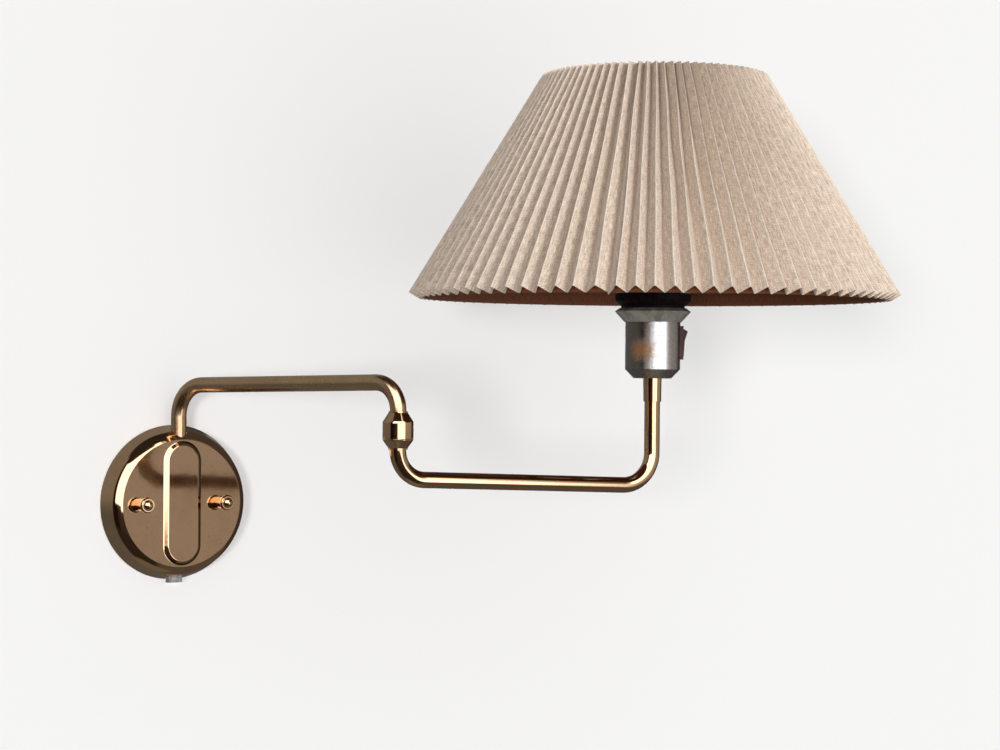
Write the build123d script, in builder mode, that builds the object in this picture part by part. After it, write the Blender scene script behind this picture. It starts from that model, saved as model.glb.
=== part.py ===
from build123d import *
import os
from math import atan2, cos, hypot, pi, radians, sin, sqrt, tan

os.makedirs("parts", exist_ok=True)

# Articulating wall light: a dish on the wall, two bent arms with an upright
# pivot at the wall and another at the elbow, a lampholder and a pleated shade.
# The origin is the centre of the dish's back on the wall, +X to the right
# along the wall, +Y into the wall and +Z up. All lengths are in millimetres.

# Shared clearances
cut_overrun = 2.0
running_gap = 0.05
seat_gap = 0.05
thrust_gap = 0.1
fabric_gap = 0.2
edge_radius = 0.45
seam_edge_radius = 0.2

# Wall dish, pressed from sheet
dish_back_radius = 60.7
dish_crease_radius = 57.3
dish_crease_depth = 9.2
dish_face_radius = 49.7
dish_depth = 18.0
dish_sheet = 1.0
shoulder_bulge = 0.9
crease_edge_radius = 0.7
stadium_height = 96.6
stadium_width = 31.0
stadium_rise = 2.0
stadium_step = 3.0
stadium_edge_radius = 1.5
arm_hole_gap = 0.35

# Wall bracket and what it carries
bracket_sheet = 2.0
strap_length = 92.0
strap_width = 20.0
strap_corner_radius = 4.0
tongue_top = 48.0
tongue_gap = 8.3
wall_slot_spacing = 44.0
wall_slot_length = 12.0
wall_slot_width = 4.6
stud_spacing = 67.5
stud_radius = 2.0
stud_collar_radius = 4.0
stud_collar_length = 2.0
stud_reach = 10.5
screw_shank_radius = 2.0
screw_head_radius = 3.8
screw_head_depth = 1.8
screw_length = 4.6
terminal_height = 16.0
terminal_base = 3.0
terminal_pitch = 9.0
terminal_count = 3
terminal_barrel_radius = 4.2
terminal_drop = 20.0
terminal_wire_radius = 1.8
terminal_screw_radius = 1.6
terminal_screw_length = 3.2
terminal_screw_spacing = 8.0
screw_slot_width = 0.8
screw_slot_depth = 0.9
earth_head_radius = 3.6
earth_head_length = 2.6
earth_washer_radius = 4.4
earth_washer_length = 0.8
earth_drop = 36.5

# Cap nuts on the face of the dish
nut_foot_radius = 5.0
nut_foot_length = 6.9
nut_ring_radius = 6.1
nut_ring_length = 4.6
nut_knob_radius = 4.4
nut_knob_set_back = 1.3
nut_bore_radius = 2.05
nut_bore_depth = 11.0

# Cord inlet at the bottom edge of the dish
grommet_radius = 6.5
grommet_bore_radius = 2.6
grommet_depth = 3.4
grommet_proud = 2.2
grommet_length = 9.0
grommet_flange = 1.4
grommet_front = 7.0

# Arms: bent tube, both of one length from pivot to pivot
tube_radius = 6.0
tube_wall = 1.0
arm_length = 215.0
pivot_depth = 10.6
upper_arm_angle = 68.0
upper_arm_rise = 1.31
upper_run_height = 94.5
upper_bend_radius_pivot = 24.5
upper_bend_radius_knuckle = 20.0
lower_arm_angle = 6.57
lower_arm_fall = 2.39
lower_run_height = 22.0
lower_bend_radius_knuckle = 22.0
lower_bend_radius_riser = 24.5

# Pivot in the dish
block_radius = 7.0
block_bottom = 10.0
block_top = 43.0
journal_radius = 5.0
journal_bore_radius = 3.2
journal_plug_length = 14.0
journal_drop = 9.0
washer_radius = 6.6
washer_length = 2.0
spring_washer_length = 1.2
pivot_nut_radius = 6.2
pivot_nut_length = 4.4

# Elbow between the arms
knuckle_radius = 11.25
knuckle_collar_radius = 7.0
knuckle_collar_length = 1.0
knuckle_cone_top = 75.9
knuckle_barrel_top = 68.3
knuckle_seam = 56.0
knuckle_seam_gap = 0.3
knuckle_upper_edge_radius = 3.0
knuckle_lower_edge_radius = 1.4
knuckle_barrel_bottom = 55.0
knuckle_cone_bottom = 48.1
knuckle_tube_seat = 9.0
knuckle_floor = 2.0
knuckle_lower_seat = 6.0
knuckle_cavity_radius = 9.0
stem_radius = 5.0
stem_bore_radius = 3.2
stem_groove_depth = 0.7
stem_top_gap = 0.8
ring_nut_inset = 0.6
ring_nut_length = 4.2
knuckle_washer_length = 1.0
knuckle_washer_radius = 8.2
lock_ring_length = 1.0
lock_ring_radius = 7.0
lock_ring_opening = 60.0

# Lampholder shell, on the riser
socket_bottom = 100.5
socket_floor = 1.6
socket_radius = 21.15
socket_base_radius = 14.6
socket_chamfer_height = 6.9
socket_wall = 0.8
socket_cap_top = 143.8
sleeve_length = 18.0
sleeve_radius = 7.15
sleeve_foot_radius = 6.85
sleeve_top_setback = 2.0
nipple_radius = 4.9
nipple_bore_radius = 3.4
nipple_drop = 14.0
socket_nut_radius = 7.0
socket_nut_length = 3.2
flange_neck_radius = 21.9
flange_radius = 29.4
flange_lip_height = 151.9
flange_top = 154.6
flange_top_radius = 25.6
flange_sheet = 1.2
flange_spigot_length = 3.0
flange_spigot_wall = 1.0

# Moulded lampholder body and its live parts
body_radius = 19.9
body_spigot_radius = 17.3
body_bottom = 141.5
body_top = 186.0
body_mouth_radius = 15.4
body_mouth_depth = 6.0
body_skirt_height = 4.6
body_skirt_wall = 1.7
body_floor = 4.0
shell_bore_radius = 13.4
shell_wall = 0.5
shell_length = 24.0
contact_well_radius = 12.0
contact_well_depth = 4.4
contact_width = 6.0
contact_thickness = 0.6
contact_length = 12.0
contact_rise = 3.4
contact_foot_share = 0.4
body_nut_length = 3.0
body_nut_radius = 19.1
lamp_terminal_width = 5.0
lamp_terminal_length = 7.0
lamp_terminal_height = 3.8
lamp_terminal_spacing = 16.0

# Shade rings and fitter
ring_outer_radius = 29.1
ring_neck_radius = 24.6
ring_neck_height = 1.6
ring_cone_height = 3.6
ring_top = 166.0
upper_ring_radius = 24.0
upper_ring_length = 5.0
fitter_thickness = 1.2
fitter_radius = 28.6
wire_radius = 1.25
leg_count = 3
leg_turn = 22.0

# Rocker switch on the side of the lampholder
switch_angle = 34.0
switch_place_share = 0.635
switch_bezel_half_length = 12.9
switch_bezel_half_width = 7.6
switch_proud = 2.0
switch_body_half_length = 12.2
switch_body_half_width = 6.9
switch_body_depth = 13.0
switch_window_gap = 0.3
rocker_radius = 11.3
rocker_half_width = 5.0
rocker_pivot_depth = 3.7
rocker_high_end = 7.2
rocker_kink = 4.9
rocker_kink_offset = 1.5
rocker_low_end = 4.2
rocker_skirt = 1.0
rocker_hub_radius = 3.2
rocker_pin_radius = 1.2
rocker_pin_length = 1.4
blade_width = 4.8
blade_thickness = 0.8
blade_length = 8.0
blade_spacing = 9.0

# Pleated shade
pleat_count = 88
pleat_face_width = 11.3
linen_thickness = 0.5
lining_thickness = 0.6
seam_pitch_share = 1.3
seam_azimuth = -137.0
shade_bottom = 160.6
shade_top = 333.2
shade_bottom_radius = 191.1
shade_top_radius = 86.8
bottom_ring_lift = 2.6
top_ring_drop = 3.4

# Places worked out from the sizes above
pivot_point = Vector(0, -pivot_depth, 0)
upper_direction = Vector(cos(radians(upper_arm_angle)), -sin(radians(upper_arm_angle)), 0)
lower_direction = Vector(cos(radians(lower_arm_angle)), -sin(radians(lower_arm_angle)), 0)
knuckle_point = pivot_point + upper_direction * arm_length
socket_point = knuckle_point + lower_direction * arm_length
tube_bore = tube_radius - tube_wall
half_run = arm_length / 2
tongue_bottom = dish_back_radius + cut_overrun - grommet_length - grommet_flange - tongue_gap
dish_section = Plane(origin=(0, 0, 0), x_dir=(0, 0, 1), z_dir=(1, 0, 0))


def upright_section(point):
    """Plane through an upright axis: local x is the radius and local y the height."""
    return Plane(origin=(point.X, point.Y, 0), x_dir=(1, 0, 0), z_dir=(0, -1, 0))


def arm_section(point, direction):
    """Upright plane that holds an arm: local x runs along the arm and local y is the height."""
    return Plane(
        origin=(point.X, point.Y, 0),
        x_dir=(direction.X, direction.Y, 0),
        z_dir=(direction.Y, -direction.X, 0),
    )


def turn(outline, section, mode=Mode.ADD, softened=(), radius=edge_radius):
    """Revolve a closed outline of (radius, height) points.

    The softened corners are rounded first, by the radius that a corner names third or by the common one.
    """
    with BuildSketch(section) as profile:
        with BuildLine():
            Polyline(*outline, close=True)
        make_face()
        for across, height, *own_radius in softened:
            fillet(
                profile.vertices().sort_by_distance((across, height, 0))[0],
                radius=own_radius[0] if own_radius else radius,
            )
    revolve(profile.sketch, axis=Axis(section.origin, section.y_dir), mode=mode)


def ring(section, outer, inner, low, high):
    """A plain turned ring."""
    turn([(inner, low), (outer, low), (outer, high), (inner, high)], section)


def bend_tube(section, points, radii, outer, wall):
    """Sweep a tube along straight runs joined by bends, in one upright plane."""
    with BuildLine(section) as route:
        FilletPolyline(*points, radius=radii)
    start = route.wire() @ 0
    with BuildSketch(Plane(origin=start, z_dir=route.wire() % 0)) as bore:
        Circle(outer)
        Circle(outer - wall, mode=Mode.SUBTRACT)
    sweep(bore.sketch, path=route.wire())


def finish(piece, name):
    """Label a finished piece and write it."""
    piece.part.label = name
    export_step(piece.part, f"parts/{name}.step")


pivot_section = upright_section(pivot_point)
knuckle_section = upright_section(knuckle_point)
socket_section = upright_section(socket_point)

# Wall cover: spun dish, raised stadium, hole for the arm, stud holes and cord notch
stadium_slope = atan2(stadium_rise, stadium_step)
stadium_inset = dish_sheet * tan(stadium_slope / 2)
shoulder_middle = (
    (dish_crease_radius + dish_face_radius) / 2 + shoulder_bulge,
    (dish_crease_depth + dish_depth) / 2 + shoulder_bulge,
)


def stadium(depth, shrink):
    """The stadium's outline at a depth from the wall, drawn in by a width all round."""
    with BuildSketch(Plane.XZ.offset(depth)) as outline:
        SlotOverall(stadium_height - 2 * shrink, stadium_width - 2 * shrink, rotation=90)
    return outline.sketch


with BuildPart() as wall_cover:
    with BuildSketch(dish_section):
        with BuildLine() as sheet:
            side = Line((dish_back_radius, 0), (dish_crease_radius, dish_crease_depth))
            shoulder = ThreePointArc(side @ 1, shoulder_middle, (dish_face_radius, dish_depth))
            Line(shoulder @ 1, (0, dish_depth))
            offset(sheet.wire(), amount=dish_sheet, side=Side.LEFT)
        dish_profile = make_face()
        for corner in ((dish_crease_radius, dish_crease_depth), (dish_face_radius, dish_depth)):
            fillet(
                dish_profile.vertices().sort_by_distance((*corner, 0))[0],
                radius=crease_edge_radius,
            )
    revolve(axis=Axis.Y)
    split(bisect_by=Plane.XZ, keep=Keep.TOP)
    loft([stadium(dish_depth, 0), stadium(dish_depth + stadium_rise, stadium_step)])
    for depth in (dish_depth + stadium_rise, dish_depth):
        rim = wall_cover.edges().filter_by_position(Axis.Y, -depth, -depth)
        fillet(
            rim.filter_by(lambda edge: not edge.is_closed),
            radius=stadium_edge_radius,
        )
    inner_depth = dish_depth - dish_sheet
    loft(
        [
            stadium(inner_depth, stadium_inset),
            stadium(inner_depth + stadium_rise, stadium_step + stadium_inset),
        ],
        mode=Mode.SUBTRACT,
    )
    with BuildSketch(Plane.XY.offset(block_top)):
        with Locations((pivot_point.X, pivot_point.Y)):
            Circle(tube_radius + arm_hole_gap)
    extrude(amount=dish_back_radius - block_top + cut_overrun, mode=Mode.SUBTRACT)
    with BuildSketch(Plane.XZ.offset(inner_depth - cut_overrun)):
        with GridLocations(stud_spacing, stud_spacing, 2, 1):
            Circle(stud_radius + arm_hole_gap)
    extrude(amount=dish_sheet + 2 * cut_overrun, mode=Mode.SUBTRACT)
    with BuildSketch(Plane.XY.offset(-dish_back_radius - cut_overrun)):
        with Locations((0, -grommet_depth)):
            Circle(grommet_radius + seat_gap)
        with Locations((0, (cut_overrun - grommet_front - seat_gap) / 2)):
            Rectangle(
                2 * dish_back_radius,
                cut_overrun + grommet_front + seat_gap,
                mode=Mode.INTERSECT,
            )
    extrude(amount=grommet_length, mode=Mode.SUBTRACT)
finish(wall_cover, "wall_cover")

# Wall bracket: steel cross plate against the wall
block_middle = (block_bottom + block_top) / 2
block_screw_spacing = (block_top - block_bottom) / 2
block_screw_heights = [block_middle - block_screw_spacing / 2, block_middle + block_screw_spacing / 2]


def facing_section(x, height):
    """Plane through an axis that points out of the wall: local x is the radius, local y the depth."""
    return Plane(origin=(x, 0, height), x_dir=(0, 0, 1), z_dir=(1, 0, 0))


with BuildPart() as wall_bracket:
    with BuildSketch(Plane.XZ):
        SlotOverall(strap_length, strap_width)
        with Locations((0, (tongue_top - tongue_bottom) / 2)):
            SlotOverall(tongue_top + tongue_bottom, strap_width, rotation=90)
        for across, up in ((1, 1), (1, -1), (-1, 1), (-1, -1)):
            corner = (across * strap_width / 2, up * strap_width / 2, 0)
            fillet(vertices().sort_by_distance(corner)[0], radius=strap_corner_radius)
        with GridLocations(wall_slot_spacing, wall_slot_spacing, 2, 1):
            SlotOverall(wall_slot_length, wall_slot_width, mode=Mode.SUBTRACT)
        with GridLocations(stud_spacing, stud_spacing, 2, 1):
            Circle(stud_radius + seat_gap, mode=Mode.SUBTRACT)
        with Locations((0, -earth_drop)):
            Circle(screw_shank_radius + seat_gap, mode=Mode.SUBTRACT)
    extrude(amount=bracket_sheet)
    for height in block_screw_heights:
        turn(
            [
                (0, -cut_overrun),
                (screw_head_radius + seat_gap, -cut_overrun),
                (screw_head_radius + seat_gap, 0),
                (screw_shank_radius + seat_gap, screw_head_depth),
                (screw_shank_radius + seat_gap, bracket_sheet + cut_overrun),
                (0, bracket_sheet + cut_overrun),
            ],
            facing_section(0, height),
            mode=Mode.SUBTRACT,
        )
finish(wall_bracket, "wall_bracket")

# Bracket studs: each has a collar against the plate and reaches through the dish
with BuildPart() as bracket_studs:
    for side_sign in (-1, 1):
        turn(
            [
                (0, 0),
                (stud_radius, 0),
                (stud_radius, bracket_sheet),
                (stud_collar_radius, bracket_sheet),
                (stud_collar_radius, bracket_sheet + stud_collar_length),
                (stud_radius, bracket_sheet + stud_collar_length),
                (stud_radius, dish_depth + stud_reach),
                (0, dish_depth + stud_reach),
            ],
            facing_section(side_sign * stud_spacing / 2, 0),
        )
finish(bracket_studs, "bracket_studs")

# Cap nuts: a plain foot, a rounded ring and a ball at the end
ring_start = dish_depth + nut_foot_length
ring_end = ring_start + nut_ring_length
knob_middle = ring_end - nut_knob_set_back
knob_start_radius = sqrt(nut_knob_radius**2 - nut_knob_set_back**2)
knob_shoulder = nut_knob_radius * cos(radians(45))

with BuildPart() as cap_nuts:
    for side_sign in (-1, 1):
        nut_section = facing_section(side_sign * stud_spacing / 2, 0)
        with BuildSketch(nut_section) as nut_profile:
            with BuildLine():
                Polyline(
                    (0, dish_depth + nut_bore_depth),
                    (nut_bore_radius, dish_depth + nut_bore_depth),
                    (nut_bore_radius, dish_depth),
                    (nut_foot_radius, dish_depth),
                    (nut_foot_radius, ring_start),
                )
                ThreePointArc(
                    (nut_foot_radius, ring_start),
                    (nut_ring_radius, (ring_start + ring_end) / 2),
                    (nut_foot_radius, ring_end),
                )
                Line((nut_foot_radius, ring_end), (knob_start_radius, ring_end))
                ThreePointArc(
                    (knob_start_radius, ring_end),
                    (knob_shoulder, knob_middle + knob_shoulder),
                    (0, knob_middle + nut_knob_radius),
                )
                Line((0, knob_middle + nut_knob_radius), (0, dish_depth + nut_bore_depth))
            make_face()
        revolve(nut_profile.sketch, axis=Axis(nut_section.origin, nut_section.y_dir))
finish(cap_nuts, "cap_nuts")

# Pivot block: round-fronted brass block on the bracket, bored for the arm's journal
with BuildPart() as pivot_block:
    with BuildSketch(Plane.XY.offset(block_bottom)):
        with Locations((0, -pivot_depth)):
            Circle(block_radius)
        with Locations((0, -(pivot_depth + bracket_sheet) / 2)):
            Rectangle(2 * block_radius, pivot_depth - bracket_sheet)
        with Locations((0, -pivot_depth)):
            Circle(journal_radius + running_gap, mode=Mode.SUBTRACT)
    extrude(amount=block_top - block_bottom)
    for height in block_screw_heights:
        turn(
            [
                (0, bracket_sheet - cut_overrun),
                (screw_shank_radius + seat_gap, bracket_sheet - cut_overrun),
                (screw_shank_radius + seat_gap, screw_length + seat_gap),
                (0, screw_length + seat_gap),
            ],
            facing_section(0, height),
            mode=Mode.SUBTRACT,
        )
finish(pivot_block, "pivot_block")

# Pivot block screws: countersunk from the wall side, each with a driver slot
with BuildPart() as pivot_block_screws:
    for height in block_screw_heights:
        turn(
            [
                (0, 0),
                (screw_head_radius, 0),
                (screw_shank_radius, screw_head_depth),
                (screw_shank_radius, screw_length),
                (0, screw_length),
            ],
            facing_section(0, height),
        )
        with BuildSketch(Plane.XZ) as slot_cut:
            with Locations((0, height)):
                Rectangle(2 * screw_head_radius + cut_overrun, screw_slot_width)
        extrude(slot_cut.sketch, amount=screw_slot_depth, mode=Mode.SUBTRACT)
finish(pivot_block_screws, "pivot_block_screws")

# Terminal block: three barrels on a foot, each with a wire hole and two screw wells
barrel_depth = bracket_sheet + terminal_base + terminal_wire_radius
terminal_low = -terminal_drop - terminal_height / 2
screw_seat_depth = barrel_depth + terminal_wire_radius

with BuildPart() as terminal_block:
    with BuildSketch(Plane.XY.offset(terminal_low)):
        with Locations((0, -bracket_sheet - terminal_base / 2)):
            Rectangle(terminal_count * terminal_pitch, terminal_base)
        with Locations((0, -barrel_depth)):
            with GridLocations(terminal_pitch, terminal_pitch, terminal_count, 1):
                Circle(terminal_barrel_radius)
        with Locations((0, -bracket_sheet + cut_overrun)):
            Rectangle(terminal_count * terminal_pitch, 2 * cut_overrun, mode=Mode.SUBTRACT)
        with Locations((0, -barrel_depth)):
            with GridLocations(terminal_pitch, terminal_pitch, terminal_count, 1):
                Circle(terminal_wire_radius, mode=Mode.SUBTRACT)
    extrude(amount=terminal_height)
    with BuildSketch(Plane.XZ.offset(barrel_depth)):
        with Locations((0, -terminal_drop)):
            with GridLocations(terminal_pitch, terminal_screw_spacing, terminal_count, 2):
                Circle(terminal_screw_radius + seat_gap)
    extrude(amount=terminal_barrel_radius + cut_overrun, mode=Mode.SUBTRACT)
finish(terminal_block, "terminal_block")

# Terminal screws, down on the wire holes
with BuildPart() as terminal_screws:
    with BuildSketch(Plane.XZ.offset(screw_seat_depth - screw_slot_depth)):
        with Locations((0, -terminal_drop)):
            with GridLocations(terminal_pitch, terminal_screw_spacing, terminal_count, 2):
                Circle(terminal_screw_radius)
    extrude(amount=terminal_screw_length)
    with BuildSketch(Plane.XZ.offset(screw_seat_depth - 2 * screw_slot_depth + terminal_screw_length)):
        with Locations((0, -terminal_drop)):
            with GridLocations(terminal_pitch, terminal_screw_spacing, terminal_count, 2):
                Rectangle(2 * terminal_screw_radius + seat_gap, screw_slot_width)
    extrude(amount=screw_slot_depth + cut_overrun, mode=Mode.SUBTRACT)
finish(terminal_screws, "terminal_screws")

# Earth screw with its washer on the bracket
with BuildPart() as earth_screw:
    washer_top = bracket_sheet + earth_washer_length
    turn(
        [
            (0, 0),
            (screw_shank_radius, 0),
            (screw_shank_radius, bracket_sheet),
            (earth_washer_radius, bracket_sheet),
            (earth_washer_radius, washer_top),
            (earth_head_radius, washer_top),
            (earth_head_radius, washer_top + earth_head_length),
            (0, washer_top + earth_head_length),
        ],
        facing_section(0, -earth_drop),
    )
    with BuildSketch(Plane.XZ.offset(washer_top + earth_head_length - screw_slot_depth)):
        with Locations((0, -earth_drop)):
            Rectangle(2 * earth_head_radius + cut_overrun, screw_slot_width)
    extrude(amount=screw_slot_depth, mode=Mode.SUBTRACT)
finish(earth_screw, "earth_screw")

# Cord grommet: flat against the wall and at its front, with a flange inside the dish
grommet_low = -dish_back_radius - grommet_proud
grommet_high = -dish_back_radius - cut_overrun + grommet_length

with BuildPart() as cord_grommet:
    grommet_section = upright_section(Vector(0, -grommet_depth, 0))
    turn(
        [
            (grommet_bore_radius, grommet_low),
            (grommet_radius, grommet_low),
            (grommet_radius, grommet_high),
            (grommet_radius + grommet_flange, grommet_high),
            (grommet_radius + grommet_flange, grommet_high + grommet_flange),
            (grommet_bore_radius, grommet_high + grommet_flange),
        ],
        grommet_section,
    )
    split(bisect_by=Plane.XZ, keep=Keep.TOP)
    split(bisect_by=Plane.XZ.offset(grommet_front), keep=Keep.BOTTOM)
finish(cord_grommet, "cord_grommet")

# Upper arm: tube, journal and what holds it in the block
upper_section = arm_section(pivot_point, upper_direction)
upper_lift = half_run * tan(radians(upper_arm_rise))
upper_foot = block_top + washer_length + 2 * thrust_gap
upper_seat = knuckle_cone_top - knuckle_tube_seat

with BuildPart() as upper_arm_tube:
    bend_tube(
        upper_section,
        [
            (0, upper_foot),
            (0, upper_run_height - upper_lift),
            (arm_length, upper_run_height + upper_lift),
            (arm_length, upper_seat),
        ],
        [upper_bend_radius_pivot, upper_bend_radius_knuckle],
        tube_radius,
        tube_wall,
    )
finish(upper_arm_tube, "upper_arm_tube")

with BuildPart() as pivot_spigot:
    turn(
        [
            (journal_bore_radius, block_bottom - journal_drop),
            (journal_radius, block_bottom - journal_drop),
            (journal_radius, upper_foot),
            (tube_bore - seat_gap, upper_foot),
            (tube_bore - seat_gap, upper_foot + journal_plug_length),
            (journal_bore_radius, upper_foot + journal_plug_length),
        ],
        pivot_section,
    )
finish(pivot_spigot, "pivot_spigot")

with BuildPart() as pivot_washer:
    washer_low = block_top + thrust_gap
    ring(pivot_section, washer_radius, journal_radius + running_gap, washer_low, washer_low + washer_length)
finish(pivot_washer, "pivot_washer")

spring_washer_high = block_bottom - thrust_gap
spring_washer_low = spring_washer_high - spring_washer_length

with BuildPart() as pivot_spring_washer:
    ring(pivot_section, washer_radius, journal_radius + seat_gap, spring_washer_low, spring_washer_high)
finish(pivot_spring_washer, "pivot_spring_washer")

with BuildPart() as pivot_nut:
    with BuildSketch(Plane.XY.offset(spring_washer_low - seat_gap - pivot_nut_length)):
        with Locations((0, -pivot_depth)):
            RegularPolygon(pivot_nut_radius, 6, major_radius=False, rotation=30)
            Circle(journal_radius + seat_gap, mode=Mode.SUBTRACT)
    extrude(amount=pivot_nut_length)
finish(pivot_nut, "pivot_nut")

# Elbow: the housing hangs on the upper arm and the spindle turns in it
cavity_top = upper_seat - knuckle_floor
ring_nut_low = knuckle_seam + ring_nut_inset
ring_nut_high = ring_nut_low + ring_nut_length
knuckle_washer_low = ring_nut_high + thrust_gap
knuckle_washer_high = knuckle_washer_low + knuckle_washer_length
lock_ring_low = knuckle_washer_high + thrust_gap
lock_ring_high = lock_ring_low + lock_ring_length
stem_groove_radius = stem_radius - stem_groove_depth

with BuildPart() as knuckle_housing:
    turn(
        [
            (tube_radius + seat_gap, knuckle_cone_top),
            (knuckle_collar_radius, knuckle_cone_top),
            (knuckle_collar_radius, knuckle_cone_top - knuckle_collar_length),
            (knuckle_radius, knuckle_barrel_top),
            (knuckle_radius, knuckle_seam),
            (knuckle_cavity_radius, knuckle_seam),
            (knuckle_cavity_radius, cavity_top),
            (stem_bore_radius, cavity_top),
            (stem_bore_radius, upper_seat),
            (tube_radius + seat_gap, upper_seat),
        ],
        knuckle_section,
        softened=[
            (knuckle_collar_radius, knuckle_cone_top),
            (knuckle_radius, knuckle_barrel_top, knuckle_upper_edge_radius),
            (knuckle_radius, knuckle_seam),
        ],
        radius=seam_edge_radius,
    )
finish(knuckle_housing, "knuckle_housing")

with BuildPart() as knuckle_ring_nut:
    ring(
        knuckle_section,
        knuckle_cavity_radius - seat_gap,
        stem_radius + running_gap,
        ring_nut_low,
        ring_nut_high,
    )
finish(knuckle_ring_nut, "knuckle_ring_nut")

with BuildPart() as knuckle_washer:
    ring(
        knuckle_section,
        knuckle_washer_radius,
        stem_radius + seat_gap,
        knuckle_washer_low,
        knuckle_washer_high,
    )
finish(knuckle_washer, "knuckle_washer")

with BuildPart() as knuckle_lock_ring:
    ring(
        knuckle_section,
        lock_ring_radius,
        stem_groove_radius + seat_gap,
        lock_ring_low,
        lock_ring_high,
    )
    opening_reach = lock_ring_radius + cut_overrun
    opening_half = opening_reach * tan(radians(lock_ring_opening / 2))
    with BuildSketch(Plane(origin=(knuckle_point.X, knuckle_point.Y, lock_ring_low))) as opening_cut:
        with BuildLine():
            Polyline((0, 0), (opening_reach, -opening_half), (opening_reach, opening_half), close=True)
        make_face()
    extrude(opening_cut.sketch, amount=lock_ring_length, mode=Mode.SUBTRACT)
finish(knuckle_lock_ring, "knuckle_lock_ring")

lower_seat = knuckle_cone_bottom + knuckle_lower_seat
stem_top = cavity_top - stem_top_gap

with BuildPart() as knuckle_spindle:
    turn(
        [
            (stem_bore_radius, stem_top),
            (stem_radius, stem_top),
            (stem_radius, lock_ring_high + seat_gap),
            (stem_groove_radius, lock_ring_high + seat_gap),
            (stem_groove_radius, lock_ring_low - seat_gap),
            (stem_radius, lock_ring_low - seat_gap),
            (stem_radius, knuckle_seam - knuckle_seam_gap),
            (knuckle_radius, knuckle_seam - knuckle_seam_gap),
            (knuckle_radius, knuckle_barrel_bottom),
            (knuckle_collar_radius, knuckle_cone_bottom + knuckle_collar_length),
            (knuckle_collar_radius, knuckle_cone_bottom),
            (tube_radius + seat_gap, knuckle_cone_bottom),
            (tube_radius + seat_gap, lower_seat),
            (stem_bore_radius, lower_seat),
        ],
        knuckle_section,
        softened=[
            (knuckle_radius, knuckle_seam - knuckle_seam_gap),
            (knuckle_radius, knuckle_barrel_bottom, knuckle_lower_edge_radius),
            (knuckle_collar_radius, knuckle_cone_bottom),
        ],
        radius=seam_edge_radius,
    )
finish(knuckle_spindle, "knuckle_spindle")

# Lower arm: tube from the elbow down, along and up as the riser
lower_section = arm_section(knuckle_point, lower_direction)
lower_sink = half_run * tan(radians(lower_arm_fall))
riser_top = socket_bottom - sleeve_top_setback

with BuildPart() as lower_arm_tube:
    bend_tube(
        lower_section,
        [
            (0, lower_seat),
            (0, lower_run_height + lower_sink),
            (arm_length, lower_run_height - lower_sink),
            (arm_length, riser_top),
        ],
        [lower_bend_radius_knuckle, lower_bend_radius_riser],
        tube_radius,
        tube_wall,
    )
finish(lower_arm_tube, "lower_arm_tube")

with BuildPart() as riser_sleeve:
    turn(
        [
            (tube_radius + seat_gap, socket_bottom - sleeve_length),
            (sleeve_foot_radius, socket_bottom - sleeve_length),
            (sleeve_radius, socket_bottom),
            (nipple_radius + seat_gap, socket_bottom),
            (nipple_radius + seat_gap, riser_top),
            (tube_radius + seat_gap, riser_top),
        ],
        socket_section,
        softened=[(sleeve_foot_radius, socket_bottom - sleeve_length)],
        radius=seam_edge_radius,
    )
finish(riser_sleeve, "riser_sleeve")

socket_floor_top = socket_bottom + socket_floor
socket_nut_top = socket_floor_top + socket_nut_length

with BuildPart() as socket_nipple:
    ring(
        socket_section,
        nipple_radius,
        nipple_bore_radius,
        riser_top - nipple_drop,
        socket_nut_top + thrust_gap,
    )
finish(socket_nipple, "socket_nipple")

with BuildPart() as socket_nut:
    with BuildSketch(Plane.XY.offset(socket_floor_top)):
        with Locations((socket_point.X, socket_point.Y)):
            RegularPolygon(socket_nut_radius, 6, major_radius=False)
            Circle(nipple_radius + seat_gap, mode=Mode.SUBTRACT)
    extrude(amount=socket_nut_length)
finish(socket_nut, "socket_nut")

# Lampholder shell: chamfered cap with the switch window, and the flared flange
switch_height = socket_bottom + (socket_cap_top - socket_bottom) * switch_place_share
switch_direction = Vector(cos(radians(switch_angle)), -sin(radians(switch_angle)), 0)
switch_face = socket_radius + switch_proud
switch_back = switch_face - switch_body_depth
rocker_axis_distance = switch_face - rocker_pivot_depth


def switch_plane(distance):
    """Upright plane that faces out of the switch, at a distance from the riser's axis."""
    origin = socket_point + switch_direction * distance
    return Plane(
        origin=(origin.X, origin.Y, switch_height),
        x_dir=(-switch_direction.Y, switch_direction.X, 0),
        z_dir=(switch_direction.X, switch_direction.Y, 0),
    )


chamfer_slope = socket_chamfer_height / (socket_radius - socket_base_radius)
wall_rise = socket_wall * hypot(1, chamfer_slope)
inner_chamfer_radius = socket_base_radius + (socket_floor - wall_rise) / chamfer_slope

with BuildPart() as socket_cap:
    turn(
        [
            (nipple_radius + seat_gap, socket_bottom),
            (socket_base_radius, socket_bottom),
            (socket_radius, socket_bottom + socket_chamfer_height),
            (socket_radius, socket_cap_top),
            (socket_radius - socket_wall, socket_cap_top),
            (
                socket_radius - socket_wall,
                socket_bottom + socket_chamfer_height - socket_wall * chamfer_slope + wall_rise,
            ),
            (inner_chamfer_radius, socket_floor_top),
            (nipple_radius + seat_gap, socket_floor_top),
        ],
        socket_section,
        softened=[
            (socket_base_radius, socket_bottom),
            (socket_radius, socket_bottom + socket_chamfer_height),
        ],
    )
    with BuildSketch(switch_plane(switch_back)):
        Rectangle(
            2 * (switch_body_half_width + seat_gap),
            2 * (switch_body_half_length + seat_gap),
        )
    extrude(amount=switch_body_depth, mode=Mode.SUBTRACT)
finish(socket_cap, "socket_cap")

spigot_outer = socket_radius - socket_wall - seat_gap
spigot_inner = spigot_outer - flange_spigot_wall
spigot_low = socket_cap_top - flange_spigot_length
web_inner = body_spigot_radius + seat_gap
web_low = flange_top - flange_sheet

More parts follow.
